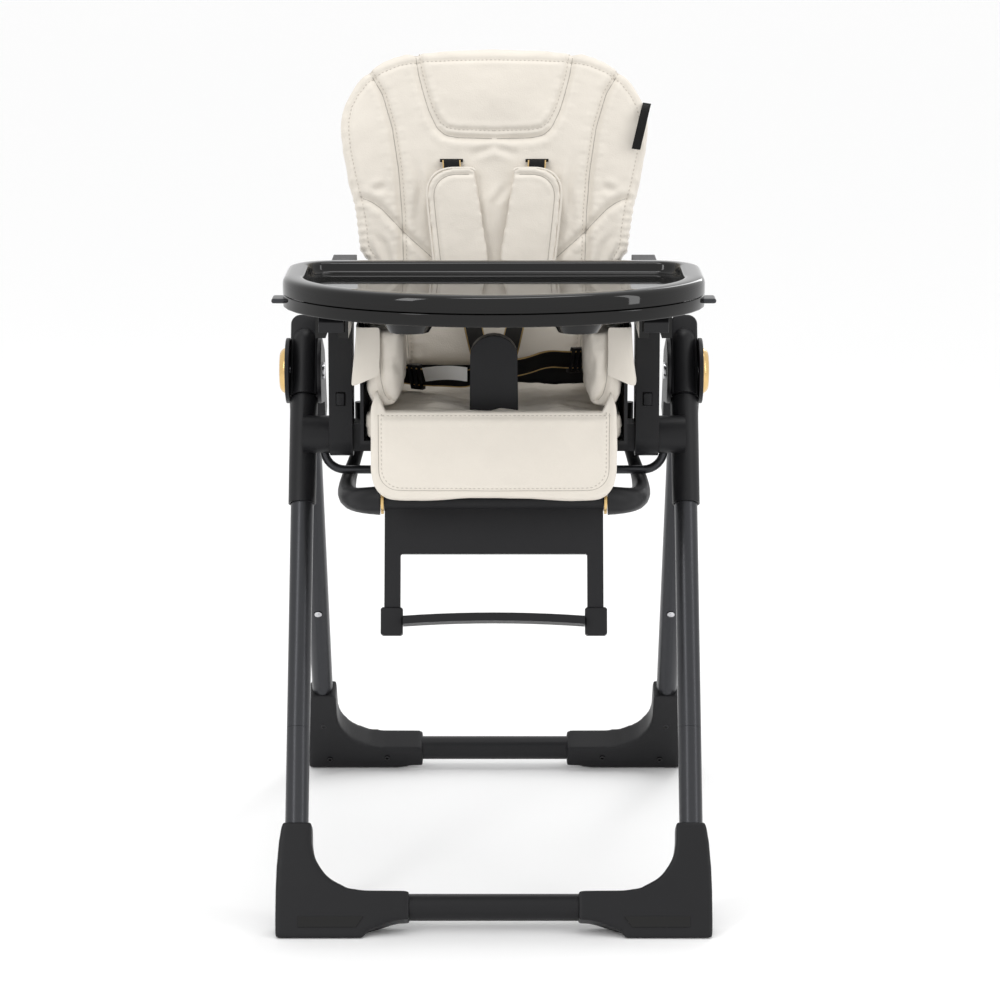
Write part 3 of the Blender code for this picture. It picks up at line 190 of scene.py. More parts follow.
class HighChairStudio(bpy.types.PropertyGroup):
    """The floor, the lights and the camera."""

    lens: FloatProperty(
        name="Lens", description="Camera's focal length", subtype="DISTANCE_CAMERA",
        min=20.0, max=300.0, default=119.2)
    camera_place: FloatVectorProperty(
        name="Camera", description="Where the camera stands", subtype="TRANSLATION",
        unit="LENGTH", size=3, default=(0.0075, -4.2132, 1.3302))
    camera_pitch: FloatProperty(
        name="Pitch", description="How far the camera looks down", subtype="ANGLE",
        unit="ROTATION", default=0.2017)
    key: FloatProperty(
        name="Key light", description="Power of the large soft light", subtype="POWER",
        unit="POWER", min=0.0, max=500.0, default=15.0)
    sky: FloatProperty(
        name="Surround", description="Brightness of the white surround", min=0.0, max=5.0,
        default=1.0)


def finishes():
    return bpy.context.scene.high_chair_finish


def padding():
    return bpy.context.scene.high_chair_padding


# ---------------------------------------------------------------- selecting and finishing meshes
def deselect():
    for obj in bpy.context.selected_objects:
        obj.select_set(False)


def choose(*objects):
    deselect()
    for obj in objects:
        obj.select_set(True)
    bpy.context.view_layer.objects.active = objects[0]


def edit(obj, *steps):
    """Runs mesh operators on the whole object in edit mode."""
    choose(obj)
    bpy.ops.object.mode_set(mode="EDIT")
    bpy.ops.mesh.select_all(action="SELECT")
    for step in steps:
        step()
    bpy.ops.object.mode_set(mode="OBJECT")


def apply_modifiers(obj):
    choose(obj)
    for modifier in list(obj.modifiers):
        bpy.ops.object.modifier_apply(modifier=modifier.name)


def added(name):
    """The object that the last operator added, named and at the origin."""
    obj = bpy.context.view_layer.objects.active
    obj.name = obj.data.name = name
    choose(obj)
    bpy.ops.object.transform_apply(location=True, rotation=True, scale=True)
    return obj


def dress(obj, material, body):
    obj.data.materials.clear()
    obj.data.materials.append(material)
    if body:
        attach(obj, body)
    return obj


def points_of(obj):
    found = np.zeros(len(obj.data.vertices) * 3)
    obj.data.vertices.foreach_get("co", found)
    return found.reshape(-1, 3)


def normals_of(obj):
    found = np.zeros(len(obj.data.vertices) * 3)
    obj.data.vertices.foreach_get("normal", found)
    return found.reshape(-1, 3)


def put_points(obj, points):
    obj.data.vertices.foreach_set("co", np.ascontiguousarray(points, dtype=float).ravel())
    obj.data.update()


def smooth(obj, angle=35.0):
    choose(obj)
    bpy.ops.object.shade_smooth_by_angle(angle=math.radians(angle))


def joined(name, objects):
    choose(*objects)
    bpy.ops.object.join()
    obj = bpy.context.view_layer.objects.active
    obj.name = obj.data.name = name
    return obj


def copy_placed(obj, matrix):
    """A copy with its own mesh, carried to its place."""
    twin = obj.copy()
    twin.data = obj.data.copy()
    bpy.context.scene.collection.objects.link(twin)
    twin.data.transform(matrix)
    return twin


def step_face(steps, scale=1.0):
    """Insets the chosen face in edit mode, or extrudes it for an inset of 0, and lifts it."""
    for inset, lift in steps:
        if inset:
            bpy.ops.mesh.inset(thickness=inset)
        else:
            bpy.ops.mesh.extrude_region_move(TRANSFORM_OT_translate={"value": (0, 0, 0)})
        if lift:
            bpy.ops.transform.translate(value=(0, 0, scale * lift))


def discard(obj):
    bpy.data.objects.remove(obj, do_unlink=True)


def mirrored(obj, name):
    """The same piece for the other side of the chair."""
    twin = copy_placed(obj, Matrix.Scale(-1.0, 4, X))
    twin.name = twin.data.name = name
    edit(twin, bpy.ops.mesh.flip_normals)
    return twin


# ---------------------------------------------------------------- finishes
class Finish:
    """A material under construction: its nodes, its shader and its surface coordinates."""

    def __init__(self, name, colour, roughness, coordinates="Object", **sockets):
        self.material = bpy.data.materials.new(name)
        self.material.use_nodes = True
        self.nodes = self.material.node_tree.nodes
        self.links = self.material.node_tree.links
        self.shader = self.nodes["Principled BSDF"]
        self.shader.inputs["Base Color"].default_value = (*colour, 1.0)
        self.shader.inputs["Roughness"].default_value = roughness
        for socket, value in sockets.items():
            self.shader.inputs[socket.replace("_", " ")].default_value = value
        self.where = self.nodes.new("ShaderNodeTexCoord").outputs[coordinates]
        self.height = None

    def add(self, kind, vector=None, **sockets):
        """A new node with its sockets set, reading the given coordinates."""
        node = self.nodes.new("ShaderNode" + kind)
        for socket, value in sockets.items():
            node.inputs[socket.replace("_", " ")].default_value = value
        if vector is not None:
            self.links.new(vector, node.inputs["Vector"])
        return node

    def placed(self, stretch):
        if stretch is None:
            return self.where
        return self.add("Mapping", self.where, Scale=stretch).outputs["Vector"]

    def noise(self, scale, detail=3.0, roughness=0.5, stretch=None):
        return self.add("TexNoise", self.placed(stretch), Scale=scale, Detail=detail,
                        Roughness=roughness).outputs["Fac"]

    def cells(self, scale, stretch=None):
        node = self.add("TexVoronoi", self.placed(stretch), Scale=scale)
        node.feature = "SMOOTH_F1"
        return node.outputs["Distance"]

    def waves(self, scale, direction, stretch=None):
        node = self.add("TexWave", self.placed(stretch), Scale=scale)
        node.bands_direction = direction
        return node.outputs["Fac"]

    def ranged(self, value, low, high, start=0.0, end=1.0):
        node = self.add("MapRange", From_Min=start, From_Max=end, To_Min=low, To_Max=high)
        self.links.new(value, node.inputs["Value"])
        return node.outputs["Result"]

    def mixed(self, factor, dark, light):
        """Mixes two colours, each given as numbers or as another node's output."""
        node = self.add("Mix")
        node.data_type = "RGBA"
        self.links.new(factor, node.inputs["Factor"])
        for socket, value in (("A", dark), ("B", light)):
            if isinstance(value, tuple):
                node.inputs[socket].default_value = (*value, 1.0)
            else:
                self.links.new(value, node.inputs[socket])
        return node.outputs["Result"]

    def colour(self, factor, dark, light):
        self.links.new(self.mixed(factor, dark, light), self.shader.inputs["Base Color"])

    def rough(self, value, low, high):
        self.links.new(self.ranged(value, low, high), self.shader.inputs["Roughness"])

    def bump(self, value, distance, strength=1.0):
        node = self.add("Bump", Distance=distance, Strength=strength)
        self.links.new(value, node.inputs["Height"])
        if self.height is not None:
            self.links.new(self.height, node.inputs["Normal"])
        self.height = node.outputs["Normal"]
        self.links.new(self.height, self.shader.inputs["Normal"])


def shade(colour, share):
    return tuple(min(1.0, value * share) for value in colour)


def cover_fabric(name, painted_light_share=1.0):
    """Soft coated fabric: a fine leather grain, faint creases and a little sheen. Its share below 1 darkens the
    cream as painted shade, above 1 lightens it as painted light.
    """
    cream = shade(finishes().cream, painted_light_share)
    made = Finish(name, cream, 0.5, Sheen_Weight=0.06, Sheen_Roughness=0.5, Specular_IOR_Level=0.35)
    mottle = made.noise(9.0, 4.0, 0.6)
    made.colour(made.ranged(mottle, 0.0, 1.0, 0.3, 0.7), shade(cream, 0.955), shade(cream, 1.02))
    made.rough(made.noise(160.0, 2.0), 0.42, 0.60)
    made.bump(made.noise(55.0, 5.0, 0.65), 0.0009, 0.35)
    made.bump(made.cells(720.0), 0.0004, 0.45)
    made.bump(made.noise(1900.0, 2.0), 0.0001, 0.5)
    return made.material


def moulded_plastic(name, share=1.0, roughness=0.42):
    """Satin moulded plastic with a fine spark-eroded grain and slight rubbing marks."""
    black = shade(finishes().plastic, share)
    made = Finish(name, black, roughness, Specular_IOR_Level=0.27)
    made.colour(made.noise(14.0, 3.0), shade(black, 0.88), shade(black, 1.16))
    made.rough(made.noise(45.0, 5.0, 0.7, (1.0, 1.0, 0.35)), roughness - 0.07, roughness + 0.09)
    made.bump(made.noise(2400.0, 3.0), 0.00016, 0.5)
    made.bump(made.noise(26.0, 2.0), 0.0006, 0.06)
    return made.material


def polished_plastic(name):
    """Polished black plastic: clear reflections with the faintest ripple and fine wiping marks."""
    gloss = finishes().gloss
    made = Finish(name, gloss, 0.05, Specular_IOR_Level=0.34)
    made.colour(made.noise(7.0, 2.0), shade(gloss, 0.9), shade(gloss, 1.15))
    made.rough(made.noise(60.0, 6.0, 0.75, (1.0, 0.25, 1.0)), 0.025, 0.065)
    made.bump(made.noise(18.0, 1.0), 0.0004, 0.012)
    return made.material


def tube_paint(name):
    """Metallic paint on the leg tubes, with a fine flake."""
    tube = finishes().tube
    made = Finish(name, tube, 0.3, Metallic=0.7, Specular_IOR_Level=0.3)
    flake = made.noise(3200.0, 1.0)
    made.colour(made.ranged(flake, 0.0, 1.0, 0.35, 0.7), shade(tube, 0.80), shade(tube, 1.35))
    made.rough(made.noise(70.0, 4.0, 0.6), 0.25, 0.36)
    made.bump(flake, 0.00005, 0.3)
    made.bump(made.noise(40.0, 2.0), 0.0002, 0.04)
    return made.material


def gold_trim(name):
    gold = finishes().gold
    made = Finish(name, gold, 0.24, Metallic=1.0)
    made.colour(made.noise(30.0, 3.0), shade(gold, 0.90), shade(gold, 1.08))
    made.rough(made.noise(420.0, 3.0, 0.6, (0.15, 1.0, 1.0)), 0.18, 0.32)
    made.bump(made.noise(900.0, 2.0, 0.5, (0.1, 1.0, 1.0)), 0.00005, 0.25)
    return made.material


def plated_steel(name, share=1.0):
    made = Finish(name, shade((0.62, 0.62, 0.64), share), 0.22, Metallic=1.0)
    made.colour(made.noise(120.0, 2.0), shade((0.54, 0.54, 0.56), share),
                shade((0.66, 0.66, 0.68), share))
    made.rough(made.noise(800.0, 3.0), 0.16, 0.30)
    made.bump(made.noise(1500.0, 2.0), 0.00003, 0.3)
    return made.material


def woven_webbing(name, gold_edges=True):
    """Ribbed black webbing; with gold_edges its two selvedges are gold yarn."""
    made = Finish(name, (0.006, 0.0055, 0.0055), 0.75, "UV", Specular_IOR_Level=0.2)
    split = made.nodes.new("ShaderNodeSeparateXYZ")
    made.links.new(made.where, split.inputs["Vector"])
    rib = made.waves(9.0, "Y")
    yarn = made.waves(6.5, "X")
    black = made.mixed(rib, (0.0030, 0.0028, 0.0028), (0.0105, 0.0100, 0.0095))
    if gold_edges:
        away = made.nodes.new("ShaderNodeMath")
        away.operation = "SUBTRACT"
        made.links.new(split.outputs["X"], away.inputs[0])
        away.inputs[1].default_value = 0.5
        size = made.nodes.new("ShaderNodeMath")
        size.operation = "ABSOLUTE"
        made.links.new(away.outputs["Value"], size.inputs[0])
        edge = made.ranged(size.outputs["Value"], 0.0, 1.0, 0.425, 0.440)
        gold = made.mixed(rib, shade(finishes().gold, 0.62), shade(finishes().gold, 1.0))
        black = made.mixed(edge, black, gold)
    made.links.new(black, made.shader.inputs["Base Color"])
    made.bump(rib, 0.0004, 0.6)
    made.bump(yarn, 0.0003, 0.5)
    return made.material


def sewing_thread(name, share=0.84):
    """Matt twisted thread, a little darker than the cover; at a low share it is the dark painted shadow line along
    the seams.
    """
    cream = shade(finishes().cream, share)
    made = Finish(name, cream, 0.6, Specular_IOR_Level=0.2)
    made.colour(made.noise(500.0, 1.0), shade(cream, 0.85), cream)
    made.bump(made.waves(700.0, "DIAGONAL"), 0.0001, 0.5)
    return made.material


MATERIALS = {}


def material(name):
    """The named finish, made the first time that it is asked for."""
    makers = {
        "cover": lambda: cover_fabric("cover_fabric"),
        # the cover darkened to 0.93 as painted shade for the seat
        "cover_shaded": lambda: cover_fabric("cover_fabric_painted_shade", 0.93),
        # the cover lightened to 1.03 as painted light for the front flap
        "cover_painted_light": lambda: cover_fabric("cover_fabric_painted_light", 1.03),
        "plastic": lambda: moulded_plastic("moulded_plastic"),
        "plastic_panel": lambda: moulded_plastic("moulded_panel", 1.15, 0.50),
        "gloss": lambda: polished_plastic("polished_plastic"),
        "tube": lambda: tube_paint("tube_paint"),
        "gold": lambda: gold_trim("gold_trim_finish"),
        "steel": lambda: plated_steel("plated_steel"),
        "webbing": lambda: woven_webbing("webbing_gold_edged"),
        "plain_webbing": lambda: woven_webbing("webbing_plain", False),
        "thread": lambda: sewing_thread("sewing_thread"),
        # the dark cord colour: painted shadow in the seams' valleys
        "seam": lambda: sewing_thread("seam_shadow_thread", 0.62),
        "dark_steel": lambda: plated_steel("blackened_steel", 0.07),
    }
    if name not in MATERIALS:
        MATERIALS[name] = makers[name]()
    return MATERIALS[name]


# ---------------------------------------------------------------- upholstery
def copy_of(node, name):
    """A merged copy of a CAD cushion, as the start of its cover."""
    obj = bpy.data.objects.new(name, NODES[node].data.copy())
    bpy.context.scene.collection.objects.link(obj)
    edit(obj, lambda: bpy.ops.mesh.remove_doubles(threshold=MERGE))
    return obj


def remeshed(obj, voxel):
    for kind, settings in (("REMESH", {"mode": "VOXEL", "voxel_size": voxel}),
                           ("SMOOTH", {"factor": 0.5, "iterations": 4})):
        modifier = obj.modifiers.new(kind.lower(), kind)
        for key, value in settings.items():
            setattr(modifier, key, value)
    apply_modifiers(obj)
    return obj


def inflate(obj, sewn, cap):
    """Blows the cover up as cloth: sewn(points) weights what stays, cap limits the rest."""
    rest = points_of(obj)
    weights = np.clip(sewn(rest), 0.0, 1.0)
    group = obj.vertex_groups.new(name="sewn")
    for index in np.nonzero(weights > 0.02)[0]:
        group.add([int(index)], float(weights[index]), "REPLACE")
    choose(obj)
    bpy.ops.object.modifier_add(type="CLOTH")
    cloth = obj.modifiers[-1]
    cloth.settings.quality = 5
    cloth.settings.use_pressure = True
    cloth.settings.uniform_pressure_force = padding().pressure
    cloth.settings.effector_weights.gravity = 0.0
    cloth.settings.vertex_group_mass = group.name
    cloth.point_cache.frame_start = 1
    cloth.point_cache.frame_end = CLOTH_FRAMES
    scene = bpy.context.scene
    for step in range(1, CLOTH_FRAMES + 1):
        scene.frame_set(step)
    apply_modifiers(obj)
    moved = points_of(obj) - rest
    far = np.linalg.norm(moved, axis=1)
    put_points(obj, rest + moved * (np.minimum(far, cap) / np.maximum(far, 1e-9))[:, None])
    scene.frame_set(1)
    obj.vertex_groups.clear()
    return obj


def refined(obj, iterations=2):
    smoother = obj.modifiers.new("smooth", "SMOOTH")
    smoother.factor = 0.5
    smoother.iterations = iterations
    finer = obj.modifiers.new("finer", "SUBSURF")
    finer.levels = finer.render_levels = 1
    apply_modifiers(obj)
    choose(obj)
    bpy.ops.object.shade_smooth()
    return obj


def nearest(flat, lines):
    """Distance of each flat point from the nearest line, and how far along it that is."""
    best = np.full(len(flat), 9.0)
    run = np.zeros(len(flat))
    for line in lines:
        walked = 0.0
        for one, two in zip(line, line[1:]):
            one, two = np.array(one), np.array(two)
            side = two - one
            length = max(float(np.hypot(*side)), 1e-9)
            share = np.clip(((flat - one) @ side) / length ** 2, 0.0, 1.0)
            gap = np.hypot(*(flat - one - share[:, None] * side).T)
            closer = gap < best
            best[closer] = gap[closer]
            run[closer] = walked + share[closer] * length
            walked += length
    return best, run


def on_side(line, sign):
    return [(sign * x, a) for x, a in line]


def both_halves(line):
    return [line, tuple((-x, a) for x, a in line)]


def back_width(heights, swell=1.0):
    """Half the back's width at each height along it."""
    return np.interp(heights, [a for _, a in BACK_OUTLINE], [x * swell for x, _ in BACK_OUTLINE])


def sew(obj, plane, lines, depth=None, width=None):
    """Pulls the cover in along its sewing lines, with small puckers beside them."""
    depth = padding().seam_depth if depth is None else depth
    width = padding().seam_width if width is None else width
    points, normals = points_of(obj), normals_of(obj)
    local = plane.local(points)
    gap, run = nearest(local[:, :2], lines)
    facing = np.clip((normals @ np.array(plane.out) - 0.15) / 0.5, 0.0, 1.0)
    pucker = 1.0 + 0.22 * np.sin(run * math.tau / 0.021) + 0.14 * np.sin(run * math.tau / 0.0093)
    valley = depth * np.exp(-(gap / width) ** 2)
    shoulder = 0.25 * depth * pucker * np.exp(-((gap - 2.4 * width) / (1.3 * width)) ** 2)
    move = (shoulder - valley) * facing
    put_points(obj, points + np.array(plane.out) * move[:, None])


def rumple(obj, amount, size, where=None):
    """Soft, uneven swelling, as hand-stuffed covers have."""
    points, normals = points_of(obj), normals_of(obj)
    swell = np.array([noise.fractal(Vector(p) / size, 1.0, 2.0, 3) for p in points])
    if where is not None:
        swell = swell * where(points)
    put_points(obj, points + normals * (swell * amount)[:, None])


def creases(obj, plane, lines, depth, width):
    """Long soft folds: a ridge with a valley beside it."""
    points = points_of(obj)
    local = plane.local(points)
    facing = np.clip((normals_of(obj) @ np.array(plane.out) - 0.15) / 0.5, 0.0, 1.0)
    for line in lines:
        gap, run = nearest(local[:, :2], [line])
        taper = np.sin(math.pi * run / run.max())
        wave = depth * (np.exp(-((gap - 1.6 * width) / width) ** 2) - np.exp(-(gap / width) ** 2))
        points += np.array(plane.out) * (wave * taper * facing)[:, None]
    put_points(obj, points)


def on_surface(obj, plane, x, a):
    """The point and normal where a line square to the plane meets the cover."""
    hit, place, normal, _ = obj.ray_cast(plane.point(x, a, 0.2), -plane.out)
    return (place, normal) if hit else (None, None)


def resampled(line, pitch):
    found = []
    left = 0.0
    for one, two in zip(line, line[1:]):
        one, two = Vector(one), Vector(two)
        length = (two - one).length
        at = left
        while at < length:
            found.append((one.lerp(two, at / length), (two - one).normalized()))
            at += pitch
        left = at - length
    return found


def stitches(name, obj, plane, lines, body, sink=0.0001):
    """A row of short raised stitches that follows the cover along each line."""
    bpy.context.view_layer.update()
    bpy.ops.mesh.primitive_uv_sphere_add(
        segments=6, ring_count=4, radius=1.0, scale=(0.42, 1.0, 0.42))
    seed = added("stitch_seed")
    seed.data.transform(Matrix.Scale(padding().stitch * 0.34, 4))
    made = []
    for line in lines:
        for spot, heading in resampled(line, padding().stitch):
            place, normal = on_surface(obj, plane, spot.x, spot.y)
            if place is None or normal.dot(plane.out) < 0.2:
                continue
            along = (X * heading.x + plane.along * heading.y)
            along = (along - normal * along.dot(normal)).normalized()
            turn = Matrix((normal.cross(along), along, normal)).transposed().to_4x4()
            made.append(copy_placed(seed, Matrix.Translation(place - normal * sink) @ turn))
    discard(seed)
    if not made:
        raise RuntimeError(f"{name} found no cover to sew")
    row = joined(name, made)
    smooth(row, 80.0)
    return dress(row, material("thread"), body)


def tube_along(name, points, radius, closed=False, sides=3):
    """A round cord along a list of points, made a mesh."""
    curve = bpy.data.curves.new(name, "CURVE")
    curve.dimensions = "3D"
    curve.bevel_depth = radius
    curve.bevel_resolution = sides
    curve.use_fill_caps = not closed
    spline = curve.splines.new("POLY")
    spline.points.add(len(points) - 1)
    for point, place in zip(spline.points, points):
        point.co = (*place, 1.0)
    spline.use_cyclic_u = closed
    obj = bpy.data.objects.new(name, curve)
    bpy.context.scene.collection.objects.link(obj)
    choose(obj)
    bpy.ops.object.convert(target="MESH")
    obj = bpy.context.view_layer.objects.active
    obj.name = obj.data.name = name
    bpy.ops.object.shade_smooth()
    return obj


def seam_shadow_cords(name, obj, plane, lines, body, radius=0.0005):
    """A dark cord sunk at the bottom of each seam's valley: painted shadow along the seam line."""
    bpy.context.view_layer.update()
    cords = []
    for number, line in enumerate(lines):
        path = []
        for spot, _ in resampled(line, 0.004):
            place, normal = on_surface(obj, plane, spot.x, spot.y)
            if place is not None and normal.dot(plane.out) > 0.15:
                path.append(place)
        if len(path) > 2:
            path = [path[0]] + [(a + b * 2 + c) / 4 for a, b, c in zip(path, path[1:], path[2:])] \
                + [path[-1]]
            cords.append(tube_along(f"{name}_{number}", path, radius, sides=2))
    return dress(joined(name, cords), material("seam"), body)


def softened(path, rounds=2):
    """Rounds the corners of an open path, keeping its ends."""
    for _ in range(rounds):
        cut = [path[0]]
        for one, two in zip(path, path[1:]):
            cut += [one.lerp(two, 0.25), one.lerp(two, 0.75)]
        path = cut + [path[-1]]
    return path


def strap(name, centres, sideways, width, thickness=0.0016, rows=40):
    """A flat strap along smoothed centres, its UV map running across and along it."""
    path = softened([Vector(c) for c in centres], 3)
    lengths = [0.0]
    for one, two in zip(path, path[1:]):
        lengths.append(lengths[-1] + (two - one).length)
    bpy.ops.mesh.primitive_grid_add(x_subdivisions=6, y_subdivisions=rows, size=1.0)
    obj = added(name)
    levels = sorted({round(v.co.y, 5) for v in obj.data.vertices})
    total = lengths[-1]
    for vertex in obj.data.vertices:
        share = levels.index(round(vertex.co.y, 5)) / (len(levels) - 1)
        along = share * total
        step = max(i for i in range(len(path) - 1) if lengths[i] <= along + 1e-9)
        inside = (along - lengths[step]) / max(lengths[step + 1] - lengths[step], 1e-9)
        place = path[step].lerp(path[step + 1], min(inside, 1.0))
        across = sideways(share) if callable(sideways) else Vector(sideways)
        vertex.co = place + across.normalized() * vertex.co.x * width
    for loop in obj.data.uv_layers.active.data:
        loop.uv = (loop.uv.x, loop.uv.y * total / width)
    solid = obj.modifiers.new("thickness", "SOLIDIFY")
    solid.thickness = thickness
    solid.offset = 0.0
    apply_modifiers(obj)
    smooth(obj, 40.0)
    return obj


def outline_plate(name, outline, plane, low, high):
    """A flat outline on a plane, extruded from low to high out of it."""
    bpy.ops.mesh.primitive_circle_add(vertices=len(outline), radius=1.0, fill_type="NGON")
    obj = added(name)
    for vertex, (x, a) in zip(obj.data.vertices, outline):
        vertex.co = plane.point(x, a, low)
    edit(obj, lambda: bpy.ops.mesh.extrude_region_move(
        TRANSFORM_OT_translate={"value": plane.out * (high - low)}))
    edit(obj, lambda: bpy.ops.mesh.normals_make_consistent(inside=False))
    return obj


def back_line(inset):
    """The back's outline, inset, from its low right corner over the top to its low left one."""
    line = []
    for x, a in BACK_OUTLINE:
        pull = Vector((x, a - 0.26)).normalized() * inset
        line.append((max(x - pull.x, 0.0) if x else 0.0, a - pull.y))
    return line + [(-x, a) for x, a in line[-2::-1]]


# ---------------------------------------------------------------- operators
class Build:
    """What every building step shares."""

    bl_options = {"REGISTER", "UNDO"}


class HIGHCHAIR_OT_frame_finish(Build, bpy.types.Operator):
    """Gives the frame's own parts their moulded, painted and plated finishes"""

    bl_idname = "highchair.frame_finish"
    bl_label = "Frame finishes"

    def execute(self, context):
        slots = {"black_plastic": "plastic", "gloss_black": "gloss", "graphite_paint": "tube",
                 "gold_trim": "gold", "steel": "steel", "cream_leather": "cover",
                 "black_webbing": "plain_webbing"}
        special = {"calf_board": "plastic_panel", "backrest_shell": "plastic_panel",
                   "seat_shell": "plastic_panel", "crotch_post": "plastic_panel",
                   "front_cross_tube": "plastic", "rear_cross_tube": "plastic"}
        record_slots = {part["node"]: part["material_slot"] for part in frame["record"]["subparts"]}
        for name, node in NODES.items():
            finish = special.get(name) or slots[record_slots[name]]
            node.data.materials.clear()
            node.data.materials.append(material(finish))
            choose(node)
            bpy.ops.mesh.customdata_custom_splitnormals_clear()
            bpy.ops.object.shade_smooth()
            node.modifiers.new("weld", "WELD").merge_threshold = MERGE
            split = node.modifiers.new("edges", "EDGE_SPLIT")
            split.split_angle = SHARP
            split.use_edge_sharp = False
            node.modifiers.new("flats", "WEIGHTED_NORMAL").mode = "FACE_AREA"
        return {"FINISHED"}


class HIGHCHAIR_OT_hub_rings(Build, bpy.types.Operator):
    """Makes the domed gold rings round the fold buttons"""

    bl_idname = "highchair.hub_rings"
    bl_label = "Gold rings"

    def execute(self, context):
        low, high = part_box("hub_ring_right")
        centre = (low + high) / 2
        proud = high.x - low.x
        bpy.ops.mesh.primitive_circle_add(
            vertices=64, radius=(high.z - low.z) / 2, fill_type="NGON")
        ring = added("gold_ring_right")
        steps = ((0.0, 0.14), (0.0004, 0.16), (0.0009, 0.20), (0.0013, 0.20), (0.0016, 0.17),
                 (0.0016, 0.10), (0.0011, 0.03), (0.0005, -0.04), (0.0002, -0.30), (0.0, -0.62))
        choose(ring)
        bpy.ops.object.mode_set(mode="EDIT")
        bpy.ops.mesh.select_all(action="SELECT")
        step_face(steps, proud)
        bpy.ops.mesh.select_all(action="SELECT")
        bpy.ops.mesh.normals_make_consistent(inside=False)
        bpy.ops.object.mode_set(mode="OBJECT")
        ring.data.transform(Matrix.Translation((low.x, centre.y, centre.z))
                            @ Matrix.Rotation(math.pi / 2, 4, "Y"))
        smooth(ring, 45.0)
        other = mirrored(ring, "gold_ring_left")
        for piece, side in ((ring, "right"), (other, "left")):
            dress(piece, material("gold"), "front_frame")
            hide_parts(f"hub_ring_{side}")
        return {"FINISHED"}


